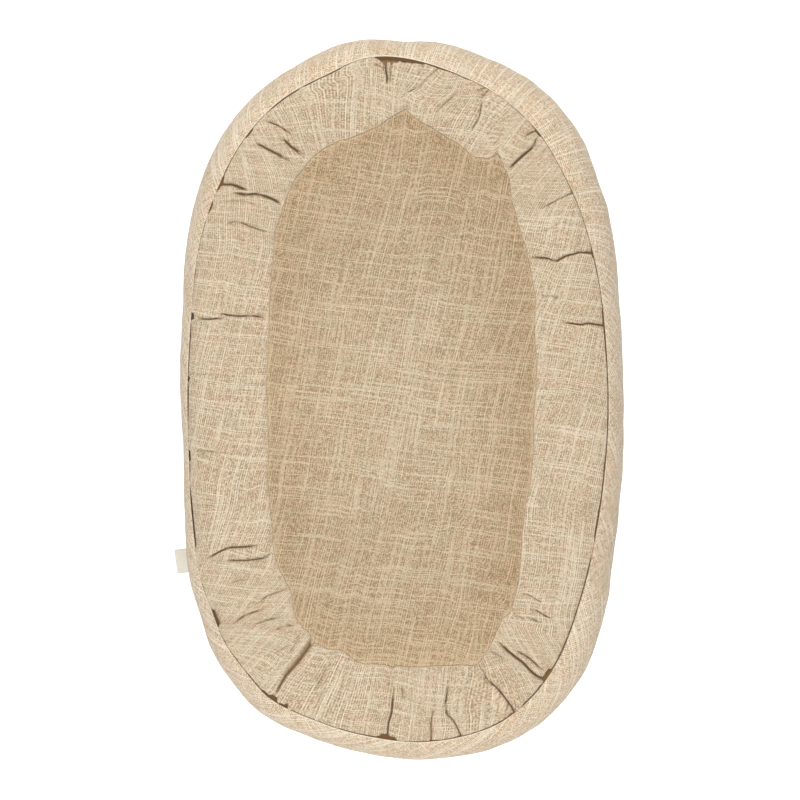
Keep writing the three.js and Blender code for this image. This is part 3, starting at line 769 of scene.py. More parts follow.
def seam_drop(bare):
    """How far the sheet drops beside the band's edge, and how much shade is painted into the open seam
    there.
    """
    opening, depth, softness = [periodic(columns, chart_shares, values) for values in gap_table()]
    from_seam = np.linalg.norm(bare[..., :2] - bare[:1, :, :2], axis=2)
    reach = np.clip(from_seam / opening, 0, 1)
    open_drop = 1 - reach ** open_drop_power
    soft_drop = (1 - reach) ** soft_drop_power
    drop = depth * (open_drop + (soft_drop - open_drop) * softness)
    # Painted shade in the open seam, less where it is soft
    gap_shade = smooth((drop - gap_shade_from) / gap_shade_over) * (1 - soft_gap_shade_loss * softness)
    return drop, gap_shade


def sheet_relief():
    """How far the sheet lies in from the part's surface, and how much shade is painted into its creases and
    its open seam.
    """
    across = np.arange(wall_rows)[:, None] / (wall_rows - 1)
    angles = np.stack([periodic(columns[r], chart_shares, row_angles[r]) for r in range(wall_rows)])
    arcs = np.stack([periodic(columns[r], chart_shares, row_arcs[r]) for r in range(wall_rows)])
    bare = sheet_point(columns, angles, np.zeros(columns.shape))
    inset, crease_shade = crease_relief(bare)
    drop, gap_shade = seam_drop(bare)
    inset = rippled(inset, across) + drop
    drawn_in = np.minimum(periodic(columns, chart_shares, lip_shift), 0) * lip_ease(angles)
    deepest = casing_inset - sheet_cloth - seat_gap + drawn_in
    return np.minimum(inset, deepest), crease_shade, gap_shade, angles, arcs


def chart_facing():
    """Direction in which the wall faces outwards in plan, evened out over a few centimetres."""
    along = np.roll(chart_outer, -1, axis=0) - np.roll(chart_outer, 1, axis=0)
    along /= np.linalg.norm(along, axis=1)[:, None]
    offsets = np.arange(-facing_reach, facing_reach + 1)
    weights = np.cos(offsets / (facing_reach + 1) * math.pi / 2) ** 2
    even = sum(weight * np.roll(along, int(offset), axis=0) for offset, weight in zip(offsets, weights))
    return even / np.linalg.norm(even, axis=1)[:, None]


chart_along = chart_facing()


def outward_angle(share):
    """Turn of the direction in which the wall faces outwards."""
    along_x = periodic(share, chart_shares, chart_along[:, 0])
    along_y = periodic(share, chart_shares, chart_along[:, 1])
    return np.arctan2(along_x, -along_y)


def cloth_directions(share):
    """Direction on the flat cloth of a line that runs outwards over the wall."""
    outward = outward_angle(share)
    lean = np.sin(2 * outward)
    return outward + corner_turn * lean * np.abs(lean) ** corner_turn_power


def wandered(along, ahead, aside, wander):
    """Places along the threads, moved a little by slow waves."""
    for size, ahead_length, aside_length, phase in wander:
        along = along + size * np.sin(ahead / ahead_length + aside / aside_length + phase)
    return along


def along_threads(plan):
    """Places in plan counted along the wefts and warps, which lean and wander as in the photograph."""
    weft = (math.cos(weft_turn), math.sin(weft_turn))
    warp = (-math.sin(warp_turn), math.cos(warp_turn))
    x, y = plan[..., 0], plan[..., 1]
    area = weft[0] * warp[1] - weft[1] * warp[0]
    along_weft = (x * warp[1] - y * warp[0]) / area
    along_warp = (y * weft[0] - x * weft[1]) / area
    along_warp = wandered(along_warp, x, y, warp_wander)
    along_weft = wandered(along_weft, y, x, weft_wander)
    return np.stack([along_weft, along_warp], axis=-1)


def floor_ring(edge, share):
    """A ring of the floor in plan: near its edge a fixed way in, further in a share of the edge's size."""
    if share < floor_edge_share:
        return edge * share
    edge_way = edge / np.linalg.norm(edge, axis=1)[:, None]
    return edge - edge_way * (1 - share) * floor_edge_reach


def floor_skin(lip_inset, under):
    """Down the well's side from the lip, round the foot and across the floor, with the floor's middle."""
    outer, inward, width, _ = wall_at(columns[-1])
    shift = periodic(columns[-1], chart_shares, lip_shift)
    tuck_limit = casing_inset - sheet_cloth - seat_gap + np.minimum(shift, 0)
    rings = []
    for k in range(1, side_rows + 1):
        t = k / side_rows
        turn = t * math.pi / 2
        tucked = np.minimum(lip_inset * (1 - t) + lip_tuck * smooth(t * tuck_pace), tuck_limit)
        distance = width + shift - under - tucked + foot_curve * (1 - math.cos(turn))
        height = sheet_lip_height + (floor_top - sheet_lip_height) * math.sin(turn) - under * t
        plan = outer + inward * distance[:, None]
        rings.append(np.concatenate([plan, np.full((column_count, 1), height)], axis=1))
    edge = rings[-1][:, :2]
    for share in floor_ring_shares:
        plan = floor_ring(edge, share)
        x, y = plan[:, 0] / floor_ripple_length, plan[:, 1] / floor_ripple_length
        ripple = waves(x, y, seed=11, count=14, fewest=1, most=6, lean=3, height=floor_ripple_height)
        ripple = ripple * smooth((1 - share) * floor_ripple_pace)
        crown = floor_crown * smooth((1 - share) * floor_crown_pace)
        height = floor_top - under + ripple + crown
        rings.append(np.concatenate([plan, height[:, None]], axis=1))
    return np.array(rings), np.array([[0, 0, floor_top - under + floor_crown]])


def stepped(direction, distance):
    """A step in plan of a distance in a direction."""
    return np.stack([np.cos(direction), np.sin(direction)], axis=-1) * distance


def cloth_map(places, arcs):
    """The flat cloth's own coordinates at every row and column."""
    outer, inward, width, _ = wall_at(columns[-1])
    foot = outer + inward * width[:, None]
    side_arc = sheet_lip_height - floor_top
    away = (arcs[-1] - arcs) + side_arc
    wall_map = foot + stepped(cloth_directions(places), away[..., None])
    lip_direction = cloth_directions(columns[-1])
    rings = [foot + stepped(lip_direction, side_arc * (1 - k / side_rows)) for k in range(1, side_rows + 1)]
    rings += [floor_ring(foot, share) for share in floor_ring_shares]
    return np.concatenate([wall_map, np.array(rings)])


def wrapped(grid):
    """A grid with its first column once more at its end."""
    return np.concatenate([grid, grid[:, :1]], axis=1)


def sheet_masks(crease_shade, gap_shade, rim, lower_count):
    """Painted shade in the upper skin's creases, open seam and well, and a painted highlight over the lip.
    The lower has none.
    """
    row_count = len(crease_shade)
    floor_rows = side_rows + len(floor_ring_shares)
    floor_plain = np.zeros(floor_rows * column_count)
    # Painted highlight on the first ring down the well's side and on the first floor ring
    side_highlight = np.zeros(floor_rows)
    side_highlight[0], side_highlight[side_rows] = side_highlight_shares
    shades = [np.zeros(row_count), [lip_well_shade_share], np.ones(side_rows - 1), floor_shade_shares[:-1]]
    upper = {
        "crease": np.concatenate([crease_shade.ravel(), floor_plain]),
        "opening": np.concatenate([gap_shade.ravel(), floor_plain]),
        "rim": np.concatenate([rim.ravel(), np.repeat(side_highlight, column_count)]),
        "well": np.repeat(np.concatenate(shades), column_count),
    }
    middles = {"well": [floor_shade_shares[-1], 1]}
    lower = np.zeros(lower_count)
    return {key: np.concatenate([mask, lower, middles.get(key, [0, 0])]) for key, mask in upper.items()}


def top_sheet():
    inset, crease_shade, gap_shade, angles, arcs = sheet_relief()
    half = periodic(columns[0], chart_shares, chart_width) / 2
    flap = np.array(flap_step_shares)[:, None]
    at_seam = np.maximum(inset[0], flap_depth)
    inset = np.concatenate([at_seam + (flap_depth - at_seam) * flap, inset])
    angles = np.concatenate([angles[0] - flap * flap_reach / half, angles])
    arcs = np.concatenate([arcs[0] - flap * flap_reach, arcs])
    # The flap rows get no painted crease shade.
    crease_shade = np.concatenate([np.zeros((flap_rows, column_count)), crease_shade])
    # The flap rows take the open seam's full painted shade.
    gap_shade = np.concatenate([np.ones((flap_rows, column_count)), gap_shade])
    # A painted highlight over the lip's edge, fading past it
    rim = smooth((angles - lip_highlight_start) / lip_highlight_ease)
    rim = rim * (1 - lip_highlight_fade_share * smooth((angles - lip_highlight_end) / lip_highlight_fade))
    places = np.concatenate([columns[:1]] * flap_rows + [columns])
    row_count = wall_rows + flap_rows

    def wall_skin(rows, under):
        return sheet_point(places[rows], angles[rows], inset[rows] + under)

    under_rows = list(under_first_rows) + list(range(under_even_row, row_count, under_row_step))
    if under_rows[-1] != row_count - 1:
        under_rows.append(row_count - 1)
    upper_floor, upper_centre = floor_skin(inset[-1], 0)
    lower_floor, lower_centre = floor_skin(inset[-1], sheet_cloth)
    upper = np.concatenate([wall_skin(np.arange(row_count), 0), upper_floor])
    under_rings = np.array(under_ring_steps)
    lower = np.concatenate([wall_skin(np.array(under_rows), sheet_cloth), lower_floor[under_rings]])
    flat_map = along_threads(cloth_map(places, arcs)) * MM
    lower_map = np.concatenate([flat_map[under_rows], flat_map[row_count + under_rings]])
    lower_start = upper.shape[0] * column_count
    lower_count = lower.shape[0] * column_count
    middle = lower_start + lower_count
    points = np.concatenate([upper.reshape(-1, 3), lower.reshape(-1, 3), upper_centre, lower_centre])
    here = np.arange(column_count)
    ahead = (here + 1) % column_count
    faces = []
    maps = []
    for start, grid, centre, way in ((0, flat_map, middle, 1), (lower_start, lower_map, middle + 1, -1)):
        quads, corner_rows, corner_columns = closed_faces(grid.shape[0], column_count, start)
        last = (grid.shape[0] - 1) * column_count + start
        fan = np.stack([last + here, last + ahead, np.full(column_count, centre)], axis=1)
        whole = wrapped(grid)
        fan_map = np.stack([whole[-1, :-1], whole[-1, 1:], np.zeros((column_count, 2))], axis=1)
        faces += [quads[:, ::way], fan[:, ::way]]
        maps += [whole[corner_rows, corner_columns][:, ::way], fan_map[:, ::way]]
    faces.append(np.stack([here, lower_start + here, lower_start + ahead, ahead], axis=1))
    edge = wrapped(flat_map)[0]
    maps.append(np.stack([edge[:-1], edge[:-1], edge[1:], edge[1:]], axis=1))
    masks = sheet_masks(crease_shade, gap_shade, rim, lower_count)
    return make_piece("top_sheet_cloth", points, faces, maps, masks)


# Side band

band_columns = 720
band_rows = 26

# Short creases in the band: strength, and two ends in pixels
band_crease_pixels = [
    (0.5, [(590, 623), (585, 639.5)]), (0.5, [(562.5, 679.6), (553.6, 694.8)]),
]

# How far the outline stands out from the part's, in mm, at pixels of the photograph
band_trim_pixels = [
    ((186, 540), -1.6), ((182, 420), -1.6), ((179, 365), -0.3), ((181, 320), -0.9), ((183, 265), -0.4),
    ((190, 223), -2.0), ((221, 135), -1.8), ((252, 96), -1.2), ((292, 67), -1.8), ((337, 44), -0.2),
    ((400, 40), -0.4), ((438, 41), 1.8), ((462, 47), 0.0), ((486, 57), -1.6), ((530, 79), 0.0),
    ((566, 113), 0.2), ((585, 145), 1.6), ((598, 180), -0.6), ((608, 210), 1.5), ((617, 265), 1.2),
    ((619, 290), -0.5),
    ((623, 400), 0.4), ((623, 464), 0.8), ((614, 555), 0.0), ((600, 630), 0.8), ((584, 672), 1.8),
    ((533, 728), 1.7), ((487, 751), 1.6), ((438, 759), 0.3), ((413, 760), 0.8), ((339, 748), 0.8),
    ((293, 731), 1.0), ((251, 706), -0.4), ((220, 666), -0.2), ((205, 632), -1.6),
]


# Angle between the band's threads and its edge: share of the way round, degrees
band_slant_shares = [
    (0, 98), (0.14, 95), (0.2, 125), (0.26, 146), (0.36, 146), (0.5, 148), (0.6, 135), (0.66, 124),
    (0.75, 146), (0.85, 140), (0.93, 116), (1.0, 98),
]


def band_ripple(shares, rows, angles):
    """How far the band's ripples stand out, less its short creases."""
    ripple = waves(shares, rows, seed=21, count=30, fewest=12, most=70, lean=1.4, height=0.32)
    ripple = ripple + waves(shares, rows, seed=23, count=30, fewest=80, most=220, lean=3, height=0.07)
    foot_gain = 1 - band_ripple_edge_share
    ripple = ripple * (band_ripple_edge_share + foot_gain * smooth((1 - rows) * band_ripple_pace))
    for strength, points in band_crease_pixels:
        places = on_wall(from_pixels(points))
        start, end = places[0], places[-1]
        mid_share = (start[0] + end[0]) / 2
        run = abs(end[0] - start[0]) * perimeter
        distance = (start[1] + end[1]) / 2
        half = periodic(mid_share, chart_shares, chart_width) / 2
        level = signed_power(1 - distance / half, 1 / shoulder_power)
        centre = math.acos(float(np.clip(level, -1, 1)))
        along = ((shares - mid_share + 0.5) % 1 - 0.5) * perimeter
        off = (angles - centre) * half
        fade = np.exp(-(along / (run * band_crease_run_share)) ** band_crease_end_power)
        ripple = ripple - band_crease_depth * strength * np.exp(-(off / band_crease_breadth) ** 2) * fade
    return ripple


def band_skin(shares, seam):
    """The band's outside, from its foot up to the seam."""
    rows = np.linspace(0, 1, band_rows)[:, None]
    angles = band_foot_angle + (seam - band_foot_angle)[None, :] * rows
    grid_shares = np.broadcast_to(shares, angles.shape)
    trims = sorted((on_wall(from_pixels([place]))[0, 0], trim) for place, trim in band_trim_pixels)
    trim = periodic(shares, [share for share, _ in trims], [amount for _, amount in trims])
    swell = band_proud + (band_swell + trim) * np.sin(math.pi * np.clip(rows * band_swell_pace, 0, 1))
    inset = -(swell + band_ripple(grid_shares, rows, angles))
    foot = smooth((-angles - band_foot_start) / band_foot_ease)
    skin = section_point(grid_shares, angles, inset * (1 - foot), wadding_bottom)
    skin[..., 2] -= (skin[..., 2] - wadding_bottom) * foot * band_foot_flat_share
    return skin


def band_edge_roll(skin):
    """The band's edge, turned over in a half circle."""
    tip = skin[-1]
    tangent = tip - skin[-2]
    tangent /= np.linalg.norm(tangent, axis=1)[:, None]
    round_way = np.roll(tip, -1, axis=0) - np.roll(tip, 1, axis=0)
    normal = np.cross(tangent, round_way)
    normal /= np.linalg.norm(normal, axis=1)[:, None]
    normal *= np.sign(normal[:, 2:3])
    roll = []
    for k in range(1, band_roll_rows + 1):
        turn = math.pi * k / (band_roll_rows + 1)
        roll.append(tip + tangent * band_roll * math.sin(turn) + normal * band_roll * (math.cos(turn) - 1))
    return np.array(roll)


def band_back(shares, seam):
    """The band's inside, from the seam down to its foot."""
    rows = np.linspace(1, 0, band_back_rows)[:, None]
    angles = band_foot_angle + (seam - band_foot_angle)[None, :] * rows
    gain = smooth((1 - rows) * band_back_pace)
    depth = band_roll * 2 - band_proud + (band_thickness - band_back_margin) * gain
    depth = depth + np.zeros(angles.shape)
    grid_shares = np.broadcast_to(shares, angles.shape)
    return section_point(grid_shares, angles, depth, wadding_bottom + band_thickness)


def band_map(points):
    """The band's flat cloth: its threads cross the edge at a slant that changes round the wall."""
    lengths = np.linalg.norm(np.diff(points, axis=0), axis=2)
    arcs = np.concatenate([np.zeros((1, band_columns)), np.cumsum(lengths, axis=0)])
    arcs = np.concatenate([arcs, arcs[-1:] + band_thickness])
    arcs = wrapped(arcs) - arcs[band_rows - 1].mean()
    places, degrees = zip(*band_slant_shares)
    slant = np.radians(np.interp(np.mod(np.linspace(0, 1, band_columns + 1), 1), places, degrees))
    step = perimeter / band_columns
    along = np.cumsum(np.cos(slant)) * step + arcs * np.sin(slant)
    thread = np.cumsum(np.sin(slant)) * step - arcs * np.cos(slant)
    return np.stack([along, thread], axis=-1) * MM


def painted_edge_highlight(shares):
    """How strong the painted highlight on the band's turned edge is at shares of the way round."""
    near_head = np.abs((shares - fold_share + 0.5) % 1 - 0.5) * perimeter
    near_foot = np.abs(np.mod(shares, 1) - 0.5) * perimeter
    far = edge_light_far_share * smooth((fold_far_reach - near_head) / fold_far_ease)
    near = edge_light_near_share * smooth((fold_reach - near_head) / fold_ease)
    foot = edge_light_foot * smooth((fold_foot_reach - near_foot) / fold_foot_ease)
    return edge_light + edge_light_head * (far + near) + foot


def side_band():
    shares = np.linspace(0, 1, band_columns, endpoint=False)
    seam = seam_angle(wall_at(shares)[3])
    skin = band_skin(shares, seam)
    points = np.concatenate([skin, band_edge_roll(skin), band_back(shares, seam)])
    faces, corner_rows, corner_columns = closed_faces(points.shape[0], band_columns, 0, wrap_rows=True)
    maps = band_map(points)[corner_rows, corner_columns]
    # The painted highlight on the band's turned edge
    fold = np.zeros(points.shape[:2])
    fold[band_rows:band_rows + edge_light_rows] = painted_edge_highlight(shares)
    return make_piece("side_band_cloth", points.reshape(-1, 3), [faces], [maps], {"fold": fold})


# Inserts: the bumper and the mattress, each in its casing

insert_columns = 300
insert_shares = np.linspace(0, 1, insert_columns, endpoint=False)
bumper_casing_rows = 20
bumper_casing_crumple = 0.7
bumper_fibre_rows = 36
bumper_fibre_crumple = 2.2

# The mattress: rings of its faces as shares of its outline, and how its edge rounds, inset and height in mm
mattress_middle = np.array([0.0, 12.0])
mattress_ring_shares = [0.12, 0.3, 0.48, 0.64, 0.78, 0.88, 0.95]
mattress_last_share = 0.985
mattress_round_steps = [(3.2, 0.0), (1.2, 0.5), (0.3, 1.6), (0.0, 3.4)]
mattress_ripple_length = 300
mattress_ripple_height = 0.6
mattress_ripple_pace = 1.6
mattress_casing_round = (0.4, 0.5)
mattress_casing_inner_round = 0.3


def wall_ring(name, angles, inset, bottom):
    """A closed section carried all round the wall."""
    shares = np.broadcast_to(insert_shares, (len(angles), insert_columns))
    turns = np.broadcast_to(np.array(angles)[:, None], shares.shape)
    points = section_point(shares, turns, inset, bottom)
    faces = closed_faces(len(angles), insert_columns, 0, wrap_rows=True)[0]
    return make_piece(name, points.reshape(-1, 3), [faces])


def crumples(rows, seed, height):
    """Shallow creases that only go inwards."""
    across = np.linspace(0, 1, rows)[:, None]
    shares = np.broadcast_to(insert_shares, (rows, insert_columns))
    ripple = waves(shares, across, seed, count=40, fewest=20, most=140, lean=3, height=0.5)
    return height * np.clip(0.5 + ripple, 0, 1)


def bumper_casing(side):
    start = -math.pi / 2 if side == "outer" else math.pi / 2
    trim = panel_gap / (chart_width.mean() / 2)
    rows = bumper_casing_rows
    skin = np.linspace(start + trim, start + math.pi - trim, rows)
    creasing = crumples(rows, seed=31 if side == "outer" else 32, height=bumper_casing_crumple)
    inset = np.concatenate([casing_inset + creasing, casing_inset + casing_cloth + creasing[::-1]])
    bottom = np.repeat([bumper_bottom, bumper_bottom + casing_cloth], rows)[:, None]
    return wall_ring(f"bumper_casing_{side}_cloth", np.concatenate([skin, skin[::-1]]), inset, bottom)


def bumper_fibre():
    angles = np.linspace(-math.pi / 2, math.pi * 1.5, bumper_fibre_rows, endpoint=False)
    creasing = crumples(bumper_fibre_rows, seed=33, height=bumper_fibre_crumple)
    inset = casing_inset + casing_cloth + fill_gap + creasing
    return wall_ring("bumper_fibre", angles, inset, bumper_bottom + casing_cloth + seat_gap)


def capped_rings(name, rings, first, last, ripple=None):
    """A closed shape from rings of points, with a point at either end."""
    rings = np.array(rings)
    ring_count, around = rings.shape[:2]
    if ripple is not None:
        rings[..., 2] += ripple(rings)
    faces = closed_faces(ring_count, around)[0]
    here = np.arange(around)
    ahead = (here + 1) % around
    first_number = ring_count * around
    start = (ring_count - 1) * around
    caps = [
        np.stack([ahead, here, np.full(around, first_number)], axis=1),
        np.stack([start + here, start + ahead, np.full(around, first_number + 1)], axis=1),
    ]
    points = np.concatenate([rings.reshape(-1, 3), [first, last]])
    return make_piece(name, points, [faces, *caps])


def mattress_ring(inset, share, height):
    """The mattress's outline, drawn in by an inset and towards its middle by a share."""
    outer, inward, width, _ = wall_at(insert_shares)
    plan = outer + inward * (width - mattress_tuck + inset)[:, None]
    plan = mattress_middle + (plan - mattress_middle) * share
    return np.concatenate([plan, np.full((insert_columns, 1), height)], axis=1)


def mattress_ripple(seed, height, level):
    """Quilting-soft swells over a face of the mattress, nothing at its edge."""
    def ripple(rings):
        x = rings[..., 0] / mattress_ripple_length
        y = rings[..., 1] / mattress_ripple_length
        swell = waves(x, y, seed, count=16, fewest=1, most=7, lean=3, height=height)
        reach = np.linalg.norm(rings[..., :2] - mattress_middle, axis=-1)
        inner = smooth(mattress_ripple_pace - reach / reach.max(axis=0) * mattress_ripple_pace)
        return np.clip(swell, -height, 0) * inner * np.sign(rings[..., 2] - level)
    return ripple


def mattress_core():
    low = mattress_bottom + casing_cloth + seat_gap
    high = mattress_top - casing_cloth - seat_gap
    inset = casing_cloth + seat_gap
    rings = [mattress_ring(inset, share, low) for share in mattress_ring_shares]
    rings += [mattress_ring(inset + more, 1, low + up) for more, up in mattress_round_steps]
    rings += [mattress_ring(inset + more, 1, high - up) for more, up in reversed(mattress_round_steps)]
    rings += [mattress_ring(inset, share, high) for share in reversed(mattress_ring_shares)]
    first = [*mattress_middle, low]
    last = [*mattress_middle, high]
    ripple = mattress_ripple(seed=41, height=mattress_ripple_height, level=(low + high) / 2)
    return capped_rings("mattress_pad", rings, first, last, ripple)


def mattress_casing(half):
    seam = (mattress_bottom + mattress_top) / 2
    sign = 1 if half == "top" else -1
    face = mattress_top if half == "top" else mattress_bottom
    edge = seam + sign * panel_gap / 2
    back = face - sign * casing_cloth
    shares = [*mattress_ring_shares, mattress_last_share]
    round_in, round_down = mattress_casing_round
    inner_round = mattress_casing_inner_round
    turned = [
        (round_in, face), (0, face - sign * round_down), (0, edge), (casing_cloth, edge),
        (casing_cloth, back - sign * inner_round), (casing_cloth + inner_round, back),
    ]
    rings = [mattress_ring(0, share, face) for share in shares]
    rings += [mattress_ring(inset, 1, height) for inset, height in turned]
    rings += [mattress_ring(casing_cloth, share, back) for share in reversed(shares)]
    first = [*mattress_middle, face]
    last = [*mattress_middle, back]
    return capped_rings(f"mattress_casing_{half}_cloth", rings, first, last)


# Base: two panels and their wadding, with the zip between them

base_overlap_share = 0.06
base_path_samples = 400
base_path_step = 5

# The base's inner edge, its corners at the zip's room, and how a half is cut from edge to edge
base_inner_length_share = 0.97
base_corner_shares = (0.33, 0.66)
base_edge_shares = (0, 0.12, 0.3, 0.6, 1.0)
base_edge_reach = 3
base_edge_room = 2.4
base_middle_columns = 20

# The base's ripples, and the puckers along its edge
base_ripple_length = 400
base_ripple_reach = 14
base_upper_round_share = 0.6
base_upper_ripple_share = 0.3
pucker_share = 0.35
pucker_place = 7
pucker_reach = 4

# Stitches
stitch_pitch = 3.4
stitch_length = 2.5
stitch_half = 0.28
edge_stitch_inset = 6.5
edge_stitch_trim = 3
opening_stitch_gap = 2.6


def base_path(inset, side):
    """The outline of one half of the base, from the head end to the foot end."""
    sign = 1 if side == "right" else -1
    start = 0 if side == "right" else 0.5
    shares = np.linspace(start - base_overlap_share, start + 0.5 + base_overlap_share, base_path_samples)
    if side == "left":
        shares = shares[::-1]
    outer, inward, _, _ = wall_at(shares)
    path = outer + inward * np.broadcast_to(inset, shares.shape)[:, None]
    path = path[path[:, 0] * sign > panel_gap / 2]
    for end in (0, -1):
        path[end, 0] = sign * panel_gap / 2
    steps = walk_lengths(path)
    even = np.linspace(0, steps[-1], int(steps[-1] / base_path_step))
    return np.stack([np.interp(even, steps, path[:, k]) for k in (0, 1)], axis=-1)


def base_lines(side, path, room):
    """The outer and inner edge of one half of the base, point by point, with corners at the zip's room."""
    sign = 1 if side == "right" else -1
    inner_y = path[:, 1] * base_inner_length_share
    ends = [np.searchsorted(-inner_y, -room[1]), np.searchsorted(-inner_y, room[1])]
    outer_line = []
    inner_line = []
    for i, point in enumerate(path):
        if i in ends:
            level = room[1] * (1 if i == ends[0] else -1)
            order = (panel_gap / 2, room[0]) if i == ends[0] else (room[0], panel_gap / 2)
            for part, x in zip(base_corner_shares, order):
                outer_line.append(path[i - 1] + (point - path[i - 1]) * part)
                inner_line.append((sign * x, level))
        within = abs(inner_y[i]) < room[1]
        outer_line.append(point)
        inner_line.append((sign * (room[0] if within else panel_gap / 2), inner_y[i]))
    return np.array(outer_line), np.array(inner_line)


def base_half(name, side, inset, room, levels, edge_round, swell, seed):
    """A sheet or pad between the base's outline and the room for the zip, with rounded edges."""
    low, high = levels
    outer_line, inner_line = base_lines(side, base_path(inset, side), room)
    span = outer_line - inner_line
    lengths = np.linalg.norm(span, axis=1)
    rounding_reach = edge_round * base_edge_reach
    near = np.array(base_edge_shares) * edge_round * base_edge_reach
    near_shares = near[None, :] / np.maximum(lengths, near[-1] * base_edge_room)[:, None]
    middle = np.linspace(0, 1, base_middle_columns + 2)[None, 1:-1]
    start = near_shares[:, -1:]
    middle_shares = start + (1 - 2 * start) * middle
    shares = np.concatenate([near_shares, middle_shares, 1 - near_shares[:, ::-1]], axis=1)
    plan = inner_line[:, None] + span[:, None] * shares[..., None]
    from_edge = np.minimum(shares, 1 - shares) * lengths[:, None]
    short = 1 - np.clip(from_edge / rounding_reach, 0, 1)
    rounding = edge_round * (1 - np.sqrt(np.clip(1 - short ** 2, 0, 1)))
    x, y = plan[..., 0] / base_ripple_length, plan[..., 1] / base_ripple_length
    ripple = waves(x, y, seed, count=40, fewest=2, most=26, lean=12, height=swell)
    ripple *= smooth(from_edge / base_ripple_reach)
    ripple = np.clip(ripple, 0, swell)
    puckers = np.abs(waves(y, shares * 0, seed + 1, count=20, fewest=40, most=120, lean=0.1, height=1.0))
    puckers = pucker_share * swell * puckers
    ripple = ripple + puckers * np.exp(-((from_edge - pucker_place) / pucker_reach) ** 2)
    lower = low + rounding + ripple
    upper = high - rounding * base_upper_round_share - ripple * base_upper_ripple_share
    rows, across = shares.shape
    skins = [np.concatenate([plan, level[..., None]], axis=-1).reshape(-1, 3) for level in (lower, upper)]
    r, c = np.meshgrid(np.arange(rows - 1), np.arange(across - 1), indexing="ij")
    corner = (r * across + c).ravel()
    quads = np.stack([corner, corner + 1, corner + across + 1, corner + across], axis=1)
    ring = np.concatenate([
        np.arange(across),
        np.arange(1, rows) * across + across - 1,
        (rows - 1) * across + np.arange(across - 2, -1, -1),
        np.arange(rows - 2, 0, -1) * across,
    ])
    ring_next = np.roll(ring, -1)
    size = rows * across
    rim = np.stack([ring, size + ring, size + ring_next, ring_next], axis=1)
    faces = [quads, quads[:, ::-1] + size, rim]
    cloth = np.concatenate([plan.reshape(-1, 2)] * 2) * MM
    return make_piece(name, np.concatenate(skins), faces, [cloth[block] for block in faces])


def stitch_run(name, path):
    """A row of small stitches along a path, one short bar for each."""
    steps = walk_lengths(path)
    height = stitch_half
    points = []
    faces = []
    for i, start in enumerate(np.arange(stitch_pitch / 2, steps[-1] - stitch_length, stitch_pitch)):
        ends = []
        for place in (start, start + stitch_length):
            ends.append(np.array([np.interp(place, steps, path[:, k]) for k in (0, 1)]))
        along = ends[1] - ends[0]
        aside = np.array([-along[1], along[0]]) / np.linalg.norm(along) * stitch_half
        middle = (ends[0] + ends[1]) / 2
        points += [
            [*ends[0], height], [*(middle + aside), height], [*(middle - aside), height],
            [*middle, height + stitch_half], [*middle, height - stitch_half], [*ends[1], height],
        ]
        n = 6 * i
        faces += [
            [n, n + 1, n + 3], [n, n + 3, n + 2], [n, n + 2, n + 4], [n, n + 4, n + 1],
            [n + 5, n + 3, n + 1], [n + 5, n + 2, n + 3], [n + 5, n + 4, n + 2], [n + 5, n + 1, n + 4],
        ]
    return make_piece(name, np.array(points), [np.array(faces)])


# The zip

strip_stations = 130
strip_ripple_length = 600
strip_end_power = 8
tape_columns = 9
tape_bow = 0.1
tape_ripple = 0.05
facing_ripple = 0.06


def swept_strip(name, points, across, stations):
    """A closed strip from a section that goes out and comes back, set at every station."""
    count, length = points.shape[:2]
    r, c = np.meshgrid(np.arange(count), np.arange(length - 1), indexing="ij")
    here = (r * length + c).ravel()
    there = ((r + 1) % count * length + c).ravel()
    quads = np.stack([here, here + 1, there + 1, there], axis=1)
    ends = []
    for k in range(count // 2 - 1):
        loop = [n * length for n in (k, k + 1, count - 2 - k, count - 1 - k)]
        ends.append(loop[::-1])
        ends.append([n + length - 1 for n in loop])
    flat = np.zeros((count, length, 2))
    flat[..., 0] = across[:, None]
    flat[..., 1] = stations
    flat = flat.reshape(-1, 2) * MM
    blocks = [quads, np.array(ends)]
    return make_piece(name, points.reshape(-1, 3), blocks, [flat[block] for block in blocks])


def zip_strip(name, side, section, half_length, ripple_height, seed):
    """A closed section drawn along the zip, with small ripples."""
    sign = 1 if side == "right" else -1
    stations = np.linspace(-half_length, half_length, strip_stations)
    section = np.array(section, float)
    along = stations / strip_ripple_length
    ripple = waves(along, 0 * stations, seed, count=24, fewest=6, most=60, lean=0.1, height=ripple_height)
    points = np.zeros((len(section), len(stations), 3))
    points[..., 0] = sign * section[:, 0:1]
    points[..., 1] = stations
    points[..., 2] = section[:, 1:2] + ripple * (1 - np.abs(stations / half_length) ** strip_end_power)
    walk = walk_lengths(section)
    half = len(section) // 2
    return swept_strip(name, points, np.minimum(walk, walk[half - 1] + walk[half] - walk), stations)


def zip_tape(side):
    low, high = tape_levels
    across = np.linspace(tape_inner, tape_inner + tape_width, tape_columns)
    lift = tape_bow * np.cos((across - tape_inner) / tape_width * 2 * math.pi)
    section = [(x, low + tape_bow - dz) for x, dz in zip(across, lift)]
    section += [(x, high - tape_bow - dz) for x, dz in zip(across[::-1], lift[::-1])]
    half_length = channel_half[1] - seat_gap
    return zip_strip(f"zip_tape_{side}_weave", side, section, half_length, tape_ripple, seed=51)


def zip_facing(side):
    half_length = opening_half[1] - seat_gap
    return zip_strip(f"zip_facing_{side}_cloth", side, facing_section, half_length, facing_ripple, seed=53)


coil_wire = 0.27
coil_pitch = 1.25
coil_sides = 5
coil_turn_steps = 9


